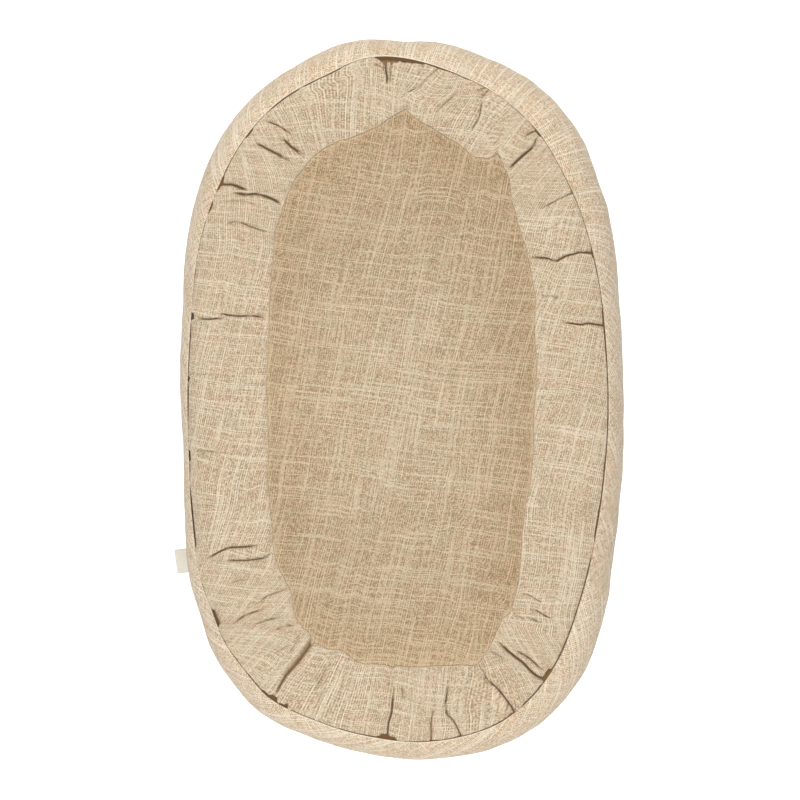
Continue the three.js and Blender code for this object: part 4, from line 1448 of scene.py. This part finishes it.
def zip_coil(side):
    """A monofilament coil. The left one lies half a turn behind the right one."""
    sign = 1 if side == "right" else -1
    length = 2 * (zip_half - stop_length - seat_gap) - 2 * coil_wire
    turns = int(length / coil_pitch)
    t = np.linspace(0, turns, turns * coil_turn_steps + 1)
    half_width = (coil_outer - coil_inner) / 2 - coil_wire
    half_height = (coil_levels[1] - coil_levels[0]) / 2 - coil_wire
    angle = 2 * math.pi * t + (math.pi if side == "left" else 0)
    middle = np.stack([
        (coil_inner + coil_outer) / 2 - half_width * np.cos(angle),
        -length / 2 + t * length / turns,
        (coil_levels[0] + coil_levels[1]) / 2 + half_height * np.sin(angle),
    ], axis=-1)
    middle[:, 0] *= sign
    tangent = np.gradient(middle, axis=0)
    tangent /= np.linalg.norm(tangent, axis=1)[:, None]
    out = np.stack([-np.cos(angle) * sign, 0 * angle, np.sin(angle)], axis=-1)
    out -= tangent * (out * tangent).sum(axis=1)[:, None]
    out /= np.linalg.norm(out, axis=1)[:, None]
    side_way = np.cross(tangent, out)
    spokes = np.arange(coil_sides) * 2 * math.pi / coil_sides
    outward = out[:, None] * np.cos(spokes)[None, :, None]
    sideward = side_way[:, None] * np.sin(spokes)[None, :, None]
    points = middle[:, None] + coil_wire * (outward + sideward)
    faces = closed_faces(len(t), coil_sides)[0]
    first = np.arange(coil_sides)
    caps = np.array([first[::-1], (len(t) - 1) * coil_sides + first])
    return make_piece(f"zip_coil_{side}_wire", points.reshape(-1, 3), [faces, caps])


# The side label: its ply, how it is cut, and how the end that shows bends up and waves
label_ply = 0.38
label_stations = 16
label_bend_steps = 9
label_columns = 15
label_show_place = 2
label_show_reach = 12
label_lift = 0.9
label_wave = 0.7
label_wave_length = 6.5
label_wave_phase = 0.8


def label_section():
    """The folded tape's section: out, round the fold and back, then the same inside it."""
    low, high = label_levels
    start, end = label_reach
    radius = (high - low) / 2
    centre = start + radius
    along = np.linspace(end, start + radius, label_stations)
    bend = np.linspace(0, math.pi, label_bend_steps)[1:-1]
    line = [(x, low) for x in along]
    line += [(centre - radius * math.sin(a), low + radius - radius * math.cos(a)) for a in bend]
    line += [(x, high) for x in along[::-1]]
    inner = [(x, high - label_ply) for x in along]
    small = radius - label_ply
    inner += [(centre - small * math.sin(a), low + radius + small * math.cos(a)) for a in bend]
    inner += [(x, low + label_ply) for x in along[::-1]]
    return np.array(line + inner)


def side_label():
    """A bare woven tape, folded over at its outer end."""
    outer, inward, _, _ = wall_at(label_share)
    section = label_section()
    across = np.linspace(-label_width / 2, label_width / 2, label_columns)
    aside = np.array([-inward[1], inward[0]])
    points = np.zeros((len(section), len(across), 3))
    points[..., :2] = outer + section[:, 0][:, None, None] * inward + across[None, :, None] * aside
    show = smooth((label_show_place - section[:, 0]) / label_show_reach)[:, None]
    wave = label_lift + label_wave * np.sin(across / label_wave_length + label_wave_phase)[None, :]
    points[..., 2] = section[:, 1:2] + show * wave
    return swept_strip("side_label_tape", points, walk_lengths(section), across)


# Metal parts

edge_segments = 2
merge_distance = 0.000005
flat_angle = math.radians(1)
sharp_angle = math.radians(35)
smooth_angle = math.radians(40)
stop_edge = 0.45
slider_edge = 0.2
pull_edge = 0.22


def softened(node, name, width):
    """A copy of a metal node with its edges rounded."""
    piece = bpy.data.objects.new(name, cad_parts[node].data.copy())
    bpy.context.scene.collection.objects.link(piece)
    bpy.ops.object.select_all(action="DESELECT")
    bpy.context.view_layer.objects.active = piece
    piece.select_set(True)
    bpy.ops.object.mode_set(mode="EDIT")
    bpy.ops.mesh.select_all(action="SELECT")
    bpy.ops.mesh.remove_doubles(threshold=merge_distance)
    bpy.ops.mesh.dissolve_limited(angle_limit=flat_angle)
    bpy.ops.object.mode_set(mode="OBJECT")
    bevel = piece.modifiers.new("edges", "BEVEL")
    bevel.width = width * MM
    bevel.segments = edge_segments
    bevel.limit_method = "ANGLE"
    bevel.angle_limit = sharp_angle
    bpy.ops.object.modifier_apply(modifier=bevel.name)
    bpy.ops.object.shade_smooth_by_angle(angle=smooth_angle)
    piece.select_set(False)
    return piece


# Materials

class Graph:
    """Short ways to add shader nodes to a tree. A value may be a number, a colour or a node's socket."""

    def __init__(self, tree):
        self.tree = tree

    def outputs(self, kind, inputs, **settings):
        """Adds a node with its settings and inputs, and gives all its outputs."""
        node = self.tree.nodes.new(kind)
        for key, value in settings.items():
            setattr(node, key, value)
        for key, value in inputs.items():
            if isinstance(value, bpy.types.NodeSocket):
                self.tree.links.new(value, node.inputs[key])
            else:
                node.inputs[key].default_value = value
        return node.outputs

    def add(self, kind, inputs, output=0, **settings):
        return self.outputs(kind, inputs, **settings)[output]

    def math(self, operation, a, b=0.0):
        return self.add("ShaderNodeMath", {0: a, 1: b}, operation=operation)

    def split(self, vector):
        return self.outputs("ShaderNodeSeparateXYZ", {0: vector})

    def join(self, x, y, z):
        return self.add("ShaderNodeCombineXYZ", {0: x, 1: y, 2: z})

    def noise(self, vector, scale, detail, roughness=0.5):
        values = {"Vector": vector, "Scale": scale, "Detail": detail, "Roughness": roughness}
        return self.add("ShaderNodeTexNoise", values)

    def span(self, value, low, high, to_low=0.0, to_high=1.0):
        values = {0: value, 1: low, 2: high, 3: to_low, 4: to_high}
        return self.add("ShaderNodeMapRange", values, interpolation_type="SMOOTHSTEP")

    def blend(self, factor, a, b, kind="MIX"):
        values = {0: factor, 6: a, 7: b}
        return self.add("ShaderNodeMix", values, output=2, data_type="RGBA", blend_type=kind)

    def mixed(self, parts):
        """The sum of values, each times its share."""
        total = None
        for value, share in parts:
            part = self.math("MULTIPLY", value, share)
            total = part if total is None else self.math("ADD", total, part)
        return total

    def mask(self, name):
        """A piece's own attribute."""
        return self.add("ShaderNodeAttribute", {}, output=2, attribute_name=name)

    def place(self):
        """Places in the object's own coordinates."""
        return self.add("ShaderNodeTexCoord", {}, output="Object")

    def stretched(self, vector, scale):
        return self.add("ShaderNodeMapping", {"Vector": vector, "Scale": scale})

    def group(self, tree, inputs):
        return self.outputs("ShaderNodeGroup", inputs, node_tree=tree)


def new_group(name, inputs, outputs):
    tree = bpy.data.node_groups.new(name, "ShaderNodeTree")
    for label, kind, value in inputs:
        socket = tree.interface.new_socket(label, in_out="INPUT", socket_type=kind)
        if value is not None:
            socket.default_value = value
    for label, kind in outputs:
        tree.interface.new_socket(label, in_out="OUTPUT", socket_type=kind)
    given = tree.nodes.new("NodeGroupInput").outputs
    result = tree.nodes.new("NodeGroupOutput").inputs
    return tree, Graph(tree), given, result


# The linen's weave: drift of its threads in metres, where a slub starts and is full, what each part adds
thread_drift = 0.0016
slub_from = 0.545
slub_full = 0.65
grain_share = 0.52
streak_share = 0.14
other_thread_share = 0.2
crossing_height = 0.4
slub_height = 0.5
tone_height = 0.6

# Steps from thread to thread through the noise, and from one way of the cloth to the other
slub_thread_step = 7.13
slub_way_step = 11.7
streak_thread_step = 3.7
streak_way_step = 5.3


def slub_weave_group():
    """Plain weave of thick and thin threads: light slubs, thread tone, patches and relief."""
    tree, g, given, result = new_group(
        "slub_weave",
        [("Cloth", "NodeSocketVector", None), ("Thread", "NodeSocketFloat", 0.00112),
         ("Slub length", "NodeSocketFloat", 0.085), ("Second way", "NodeSocketFloat", 1.0)],
        [("Light", "NodeSocketFloat"), ("Tone", "NodeSocketFloat"), ("Patch", "NodeSocketFloat"),
         ("Height", "NodeSocketFloat")],
    )
    uneven = g.noise(given["Cloth"], scale=9.0, detail=1.0)
    drift = g.math("MULTIPLY", g.math("SUBTRACT", uneven, 0.5), thread_drift)
    place = g.split(given["Cloth"])
    lights, tones, ridges = [], [], []
    for way, along, across in ((1.0, place[0], place[1]), (2.0, place[1], place[0])):
        count = g.math("DIVIDE", g.math("ADD", across, drift), given["Thread"])
        index = g.math("FLOOR", count)
        along_slub = g.math("DIVIDE", along, given["Slub length"])
        slub_place = g.join(along_slub, g.math("MULTIPLY", index, slub_thread_step), way * slub_way_step)
        fat = g.noise(slub_place, scale=1.0, detail=1.0)
        middle = g.math("SINE", g.math("MULTIPLY", g.math("FRACT", count), math.pi))
        lights.append(g.math("MULTIPLY", g.span(fat, slub_from, slub_full), middle))
        knot = g.math("FLOOR", g.math("DIVIDE", along, given["Thread"]))
        knot_place = {"Vector": g.join(knot, index, way)}
        grain = g.add("ShaderNodeTexWhiteNoise", knot_place, noise_dimensions="3D")
        streak_thread = g.math("MULTIPLY", index, streak_thread_step)
        streak = g.noise(g.join(along_slub, streak_thread, way * streak_way_step), scale=2.0, detail=1.0)
        streak = g.span(streak, low=0.3, high=0.7)
        other_thread = g.math("PINGPONG", index, 1.0)
        tone = g.mixed([(grain, grain_share), (streak, streak_share), (other_thread, other_thread_share)])
        tones.append(tone)
        ridges.append(g.math("SINE", g.math("MULTIPLY", count, math.pi)))
    over = g.math("MULTIPLY", ridges[0], ridges[1])
    on_top = g.span(over, low=-0.25, high=0.25)
    first_tone = g.math("MULTIPLY", tones[0], on_top)
    tone = g.math("ADD", first_tone, g.math("MULTIPLY", tones[1], g.math("SUBTRACT", 1.0, on_top)))
    light = g.math("MAXIMUM", lights[0], g.math("MULTIPLY", lights[1], given["Second way"]))
    crossing = g.math("ABSOLUTE", over)
    height = g.mixed([(crossing, crossing_height), (light, slub_height), (tone, tone_height)])
    patch = g.noise(given["Cloth"], scale=48.0, detail=3.0, roughness=0.6)
    for label, value in (("Light", light), ("Tone", tone), ("Patch", patch), ("Height", height)):
        tree.links.new(value, result[label])
    return tree


slub_weave = slub_weave_group()


sheen_roughness = 0.5


def new_material(name, roughness, metallic=0.0, sheen=0.0):
    material = bpy.data.materials.new(name)
    material.use_nodes = True
    tree = material.node_tree
    shader = tree.nodes["Principled BSDF"]
    shader.inputs["Roughness"].default_value = roughness
    shader.inputs["Metallic"].default_value = metallic
    if sheen:
        shader.inputs["Sheen Weight"].default_value = sheen
        shader.inputs["Sheen Roughness"].default_value = sheen_roughness
    return material, Graph(tree), shader


def colour(red, green, blue):
    """A colour given as a display shows it, made linear."""
    return tuple((value / 255) ** 2.2 for value in (red, green, blue)) + (1.0,)


linen_roughness = 0.93
linen_sheen = 0.12
linen_bump = 0.15
linen_bump_depth = 0.0003
slub_share = 0.51
tone_dark = 0.11
tone_light = 0.77
patch_pink = 0.36
patch_grey = 0.64
pinkish = (1.0, 0.972, 0.965, 1)
greyish = (0.966, 0.988, 0.975, 1)

# How strongly the sheet's and the band's masks paint shade and highlights into the cloth, and with what
# colour
crease_shade_from = 0.2
crease_shade_full = 0.9
crease_shade_share = 0.95
crease_shade_colour = colour(116, 86, 47)
gap_shade_share = 0.95
gap_shade_colour = colour(146, 112, 68)
lip_highlight_share = 0.92
lip_highlight_colour = colour(252, 234, 202)
# Painted shade, darker and warmer, on the well's side and floor
well_shade_tint = (0.905, 0.876, 0.814, 1)
fold_highlight_share = 0.9
fold_highlight_colour = colour(255, 246, 228)


def linen(name, low, high, slub, slub_mix=slub_share, sheet=False, folded=False, second_way=1.0):
    """Linen between two colours, with light slubs. The sheet's and the band's masks paint shade and
    highlights into it too.
    """
    material, g, shader = new_material(name, linen_roughness, sheen=linen_sheen)
    cloth = g.add("ShaderNodeUVMap", {}, uv_map="cloth")
    weave = g.group(slub_weave, {"Cloth": cloth, "Second way": second_way})
    body = g.blend(g.span(weave["Tone"], tone_dark, tone_light), low, high)
    body = g.blend(g.math("MULTIPLY", weave["Light"], slub_mix), body, slub)
    patch = g.span(weave["Patch"], patch_pink, patch_grey)
    body = g.blend(1.0, body, g.blend(patch, pinkish, greyish), "MULTIPLY")
    if sheet:
        # Painted shade in the creases.
        crease = g.span(g.mask("crease"), crease_shade_from, crease_shade_full)
        body = g.blend(g.math("MULTIPLY", crease, crease_shade_share), body, crease_shade_colour)
        # Painted shade in the open seam.
        body = g.blend(g.math("MULTIPLY", g.mask("opening"), gap_shade_share), body, gap_shade_colour)
        # A painted highlight over the lip's edge.
        body = g.blend(g.math("MULTIPLY", g.mask("rim"), lip_highlight_share), body, lip_highlight_colour)
        # Painted shade in the well.
        body = g.blend(g.mask("well"), body, g.blend(1.0, body, well_shade_tint, "MULTIPLY"))
    # A painted highlight on the band's turned edge.
    if folded:
        body = g.blend(g.math("MULTIPLY", g.mask("fold"), fold_highlight_share), body, fold_highlight_colour)
    g.tree.links.new(body, shader.inputs["Base Color"])
    values = {"Strength": linen_bump, "Distance": linen_bump_depth, "Height": weave["Height"]}
    g.tree.links.new(g.add("ShaderNodeBump", values), shader.inputs["Normal"])
    return material


def fine_weave_group():
    """Small even threads with a little unevenness, for linings and tapes."""
    tree, g, given, result = new_group(
        "fine_weave",
        [("Place", "NodeSocketVector", None), ("Pitch", "NodeSocketFloat", 0.0006),
         ("Lean", "NodeSocketFloat", 0.0)],
        [("Tone", "NodeSocketFloat"), ("Height", "NodeSocketFloat")],
    )
    place = g.split(given["Place"])
    leaning = g.math("ADD", place[1], g.math("MULTIPLY", g.math("ABSOLUTE", place[0]), given["Lean"]))
    threads = []
    for across in (place[0], leaning):
        turn = g.math("DIVIDE", g.math("MULTIPLY", across, 2 * math.pi), given["Pitch"])
        threads.append(g.math("SINE", turn))
    weave = g.math("MULTIPLY", g.math("ADD", g.math("MULTIPLY", threads[0], threads[1]), 1.0), 0.5)
    uneven = g.noise(given["Place"], scale=700.0, detail=3.0, roughness=0.6)
    cloudy = g.noise(given["Place"], scale=26.0, detail=2.0)
    tone = g.mixed([(weave, 0.35), (uneven, 0.45), (cloudy, 0.2)])
    height = g.mixed([(weave, 0.7), (uneven, 0.3)])
    tree.links.new(tone, result["Tone"])
    tree.links.new(height, result["Height"])
    return tree


fine_weave = fine_weave_group()
woven_roughness = 0.9
woven_sheen = 0.08
woven_bump = 0.6
woven_bump_depth = 0.00012


def woven(name, low, high, pitch, lean=0.0, mapped=False):
    """A fine even weave between two colours, on the piece's cloth map or in the object's coordinates."""
    material, g, shader = new_material(name, woven_roughness, sheen=woven_sheen)
    place = g.add("ShaderNodeUVMap", {}, uv_map="cloth") if mapped else g.place()
    weave = g.group(fine_weave, {"Place": place, "Pitch": pitch, "Lean": lean})
    g.tree.links.new(g.blend(g.span(weave["Tone"], 0.25, 0.75), low, high), shader.inputs["Base Color"])
    values = {"Strength": woven_bump, "Distance": woven_bump_depth, "Height": weave["Height"]}
    g.tree.links.new(g.add("ShaderNodeBump", values), shader.inputs["Normal"])
    return material


fibre_sheen = 0.3
fibre_bump = 0.8
fibre_bump_depth = 0.0015
hair_stretch = (400, 1500, 900)


def fibre(name, low, high):
    """Loose polyester fibre: soft tufts of fine hairs."""
    material, g, shader = new_material(name, 1.0, sheen=fibre_sheen)
    place = g.place()
    tufts = g.noise(place, scale=55.0, detail=4.0, roughness=0.6)
    hairs = g.noise(g.stretched(place, hair_stretch), scale=1.0, detail=4.0, roughness=0.7)
    tone = g.mixed([(tufts, 0.6), (hairs, 0.4)])
    g.tree.links.new(g.blend(g.span(tone, 0.3, 0.7), low, high), shader.inputs["Base Color"])
    values = {"Strength": fibre_bump, "Distance": fibre_bump_depth, "Height": tone}
    g.tree.links.new(g.add("ShaderNodeBump", values), shader.inputs["Normal"])
    return material


brush_stretch = (3000, 260, 3000)
brushed_smoother = 0.08
brushed_rougher = 0.14
metal_bump = 0.25
metal_bump_depth = 0.00003


def metal(name, worn, bright, roughness):
    """Brushed metal between two colours, a little smoother and rougher along the brush marks."""
    material, g, shader = new_material(name, roughness, metallic=1.0)
    place = g.place()
    wear = g.noise(place, scale=900.0, detail=4.0, roughness=0.6)
    brushed = g.noise(g.stretched(place, brush_stretch), scale=1.0, detail=3.0, roughness=0.6)
    g.tree.links.new(g.blend(g.span(wear, 0.35, 0.7), worn, bright), shader.inputs["Base Color"])
    rough = g.span(brushed, 0.3, 0.7, roughness - brushed_smoother, roughness + brushed_rougher)
    g.tree.links.new(rough, shader.inputs["Roughness"])
    values = {"Strength": metal_bump, "Distance": metal_bump_depth, "Height": brushed}
    g.tree.links.new(g.add("ShaderNodeBump", values), shader.inputs["Normal"])
    return material


def monofilament(name, low, high, roughness):
    """Smooth plastic line between two colours."""
    material, g, shader = new_material(name, roughness)
    cloudy = g.noise(g.place(), scale=500.0, detail=2.0)
    g.tree.links.new(g.blend(cloudy, low, high), shader.inputs["Base Color"])
    return material


sheet_linen = linen(
    "sheet_linen", colour(160, 136, 106), colour(228, 207, 178), colour(255, 245, 220), sheet=True)
band_linen = linen(
    "band_linen", colour(172, 147, 116), colour(249, 226, 195), colour(255, 247, 228), slub_mix=0.78,
    folded=True, second_way=0.5)
base_linen = linen("base_linen", colour(150, 128, 100), colour(222, 202, 172), colour(246, 228, 198))
lining_weave = woven("lining_weave", colour(222, 217, 204), colour(246, 242, 232), pitch=0.0007)
wadding_fibre = fibre("wadding_fibre", colour(224, 222, 216), colour(250, 249, 246))
label_weave = woven("label_weave", colour(206, 203, 190), colour(236, 234, 224), pitch=0.0009, mapped=True)
tape_weave = woven(
    "tape_weave", colour(186, 166, 136), colour(222, 204, 174), pitch=0.0011, lean=1.0, mapped=True)
coil_plastic = monofilament("coil_plastic", colour(206, 188, 158), colour(230, 214, 186), roughness=0.36)
stitch_thread = woven("stitch_thread", colour(212, 196, 168), colour(240, 226, 200), pitch=0.0008)
zip_metal = metal("zip_metal", colour(196, 192, 184), colour(226, 223, 216), roughness=0.3)


# Pieces

cover = "cover_and_inserts"
sheet_piece = dress(top_sheet(), cover, sheet_linen, "linen", "top_sheet")
band_piece = dress(side_band(), cover, band_linen, "linen", "side_band")

for side in ("outer", "inner"):
    dress(bumper_casing(side), cover, lining_weave, "lining", f"bumper_casing_{side}")
for half in ("top", "bottom"):
    dress(mattress_casing(half), cover, lining_weave, "lining", f"mattress_casing_{half}")
bumper_pad = dress(bumper_fibre(), cover, wadding_fibre, "wadding", "bumper_fill")
mattress_pad = dress(mattress_core(), cover, wadding_fibre, "wadding", "mattress_core")

# Heights of the base's panels and pads, how round their edges are and how much they ripple
panel_slack = 0.2
panel_levels = (0.0, base_panel_cloth - panel_slack)
panel_round = 0.8
panel_swell = 0.5
pad_margin = 6
pad_inset = casing_inset + pad_margin
pad_slack = 0.1
pad_levels = (wadding_bottom + pad_slack, wadding_top - pad_slack)
pad_round = 2.4
pad_swell = 1.2

label_piece = dress(side_label(), cover, label_weave, "label_tape", "side_label")
for side, sign, panel_seed, pad_seed in (("left", -1, 61, 63), ("right", 1, 62, 64)):
    panel = base_half(f"base_cloth_{side}", side, base_panel_inset, opening_half, panel_levels,
                      panel_round, panel_swell, panel_seed)
    dress(panel, cover, base_linen, "base_linen", f"base_panel_{side}")
    pad = base_half(f"base_wadding_{side}_pad", side, pad_inset, channel_half, pad_levels,
                    pad_round, pad_swell, pad_seed)
    dress(pad, cover, wadding_fibre, "wadding", f"base_wadding_{side}")
    facing = dress(zip_facing(side), cover, base_linen, "base_linen", f"zip_facing_{side}")
    tape = dress(zip_tape(side), cover, tape_weave, "zip_tape", f"zip_tape_{side}")
    dress(zip_coil(side), cover, coil_plastic, "zip_coil", f"zip_coil_{side}")
    edge_line = base_path(base_panel_inset + edge_stitch_inset, side)[edge_stitch_trim:-edge_stitch_trim]
    dress(stitch_run(f"base_edge_stitches_{side}", edge_line), cover, stitch_thread, "base_linen")
    x = sign * (opening_half[0] + opening_stitch_gap)
    opening_line = np.array([[x, opening_half[1]], [x, -opening_half[1]]])
    dress(stitch_run(f"opening_stitches_{side}", opening_line), cover, stitch_thread, "base_linen")
    stop = softened(f"zip_top_stop_{side}", f"zip_top_stop_{side}_clamp", stop_edge)
    dress(stop, cover, zip_metal, "zip_metal", f"zip_top_stop_{side}")
bottom_stop = softened("zip_bottom_stop", "zip_bottom_stop_clamp", stop_edge)
dress(bottom_stop, cover, zip_metal, "zip_metal", "zip_bottom_stop")
slider = softened("zip_slider", "zip_slider_body", slider_edge)
dress(slider, "slider", zip_metal, "zip_metal", "zip_slider")
pull = softened("zip_pull", "zip_pull_tab", pull_edge)
dress(pull, "pull", zip_metal, "zip_metal", "zip_pull")


# Stage, light and camera

# The ground's sizes in metres, and how strong the sun and the world are
ground_size = 30
ground_drop = 0.0005
ground_colour = (0.7, 0.7, 0.7, 1)
ground_glow = 0.62
ground_roughness = 0.9
white = (1, 1, 1, 1)
sun_strength = 1.95
sun_angle = math.radians(0.3)
world_strength = 0.28

# The camera: height and reach in metres, film in mm, and the photograph's size with a pixel's size in mm
camera_height = 30.0
camera_film = 36
camera_reach = 100
photo_size_pixels = 800
photo_pixel_size = 1.0311


def white_ground():
    """A large pale floor that stays white round the part."""
    bpy.ops.mesh.primitive_plane_add(size=ground_size, location=(0, 0, -ground_drop))
    ground = bpy.context.object
    ground.name = "ground"
    material, g, shader = new_material("ground_white", ground_roughness)
    shader.inputs["Base Color"].default_value = ground_colour
    shader.inputs["Emission Color"].default_value = white
    seen = g.add("ShaderNodeLightPath", {}, output="Is Camera Ray")
    g.tree.links.new(g.math("MULTIPLY", seen, ground_glow), shader.inputs["Emission Strength"])
    ground.data.materials.append(material)
    bpy.ops.object.select_all(action="DESELECT")


def add_lamp(name, light):
    lamp = bpy.data.objects.new(name, light)
    bpy.context.scene.collection.objects.link(lamp)
    return lamp


def soft_box(name, place, aim, size, energy):
    """A rectangular studio light that looks at a point."""
    light = bpy.data.lights.new(name, "AREA")
    light.shape = "RECTANGLE"
    light.size, light.size_y = size
    light.energy = energy
    lamp = add_lamp(name, light)
    lamp.location = place
    lamp.rotation_euler = (Vector(aim) - Vector(place)).to_track_quat("-Z", "Y").to_euler()


def sun_above():
    """Even light from straight above, with crisp shadows."""
    light = bpy.data.lights.new("light_above", "SUN")
    light.energy = sun_strength
    light.angle = sun_angle
    add_lamp("light_above", light)


def pale_world():
    """Weak white light from all round."""
    world = bpy.data.worlds.new("studio")
    world.use_nodes = True
    background = world.node_tree.nodes["Background"]
    background.inputs["Color"].default_value = white
    background.inputs["Strength"].default_value = world_strength
    bpy.context.scene.world = world


def camera_above():
    """Looks straight down, with the photograph's frame."""
    view_width = photo_size_pixels * photo_pixel_size * MM
    camera = bpy.data.cameras.new("camera")
    camera.sensor_width = camera_film
    camera.lens = camera_film * (camera_height - widest_height * MM) / view_width
    camera.clip_end = camera_reach
    eye = bpy.data.objects.new("camera", camera)
    bpy.context.scene.collection.objects.link(eye)
    centre = photo_size_pixels / 2
    across = (centre - photo_middle_pixels[0]) / photo_half_pixels[0] * cover_half[0]
    up = (photo_middle_pixels[1] - centre) / photo_half_pixels[1] * cover_half[1]
    eye.location = ((across + cover_middle[0]) * MM, (up + cover_middle[1]) * MM, camera_height)
    bpy.context.scene.camera = eye


white_ground()
soft_box("light_head", place=(0.4, 2.8, 0.9), aim=(0, 0.2, 0.05), size=(1.8, 0.8), energy=25)
soft_box("light_foot", place=(0.6, -2.8, 0.9), aim=(0, -0.2, 0.05), size=(1.8, 0.8), energy=24)
soft_box("light_left", place=(-2.8, 0, 0.8), aim=(0, 0, 0.05), size=(1.5, 0.8), energy=15)
sun_above()
pale_world()
bpy.context.scene.view_settings.view_transform = "Standard"
camera_above()
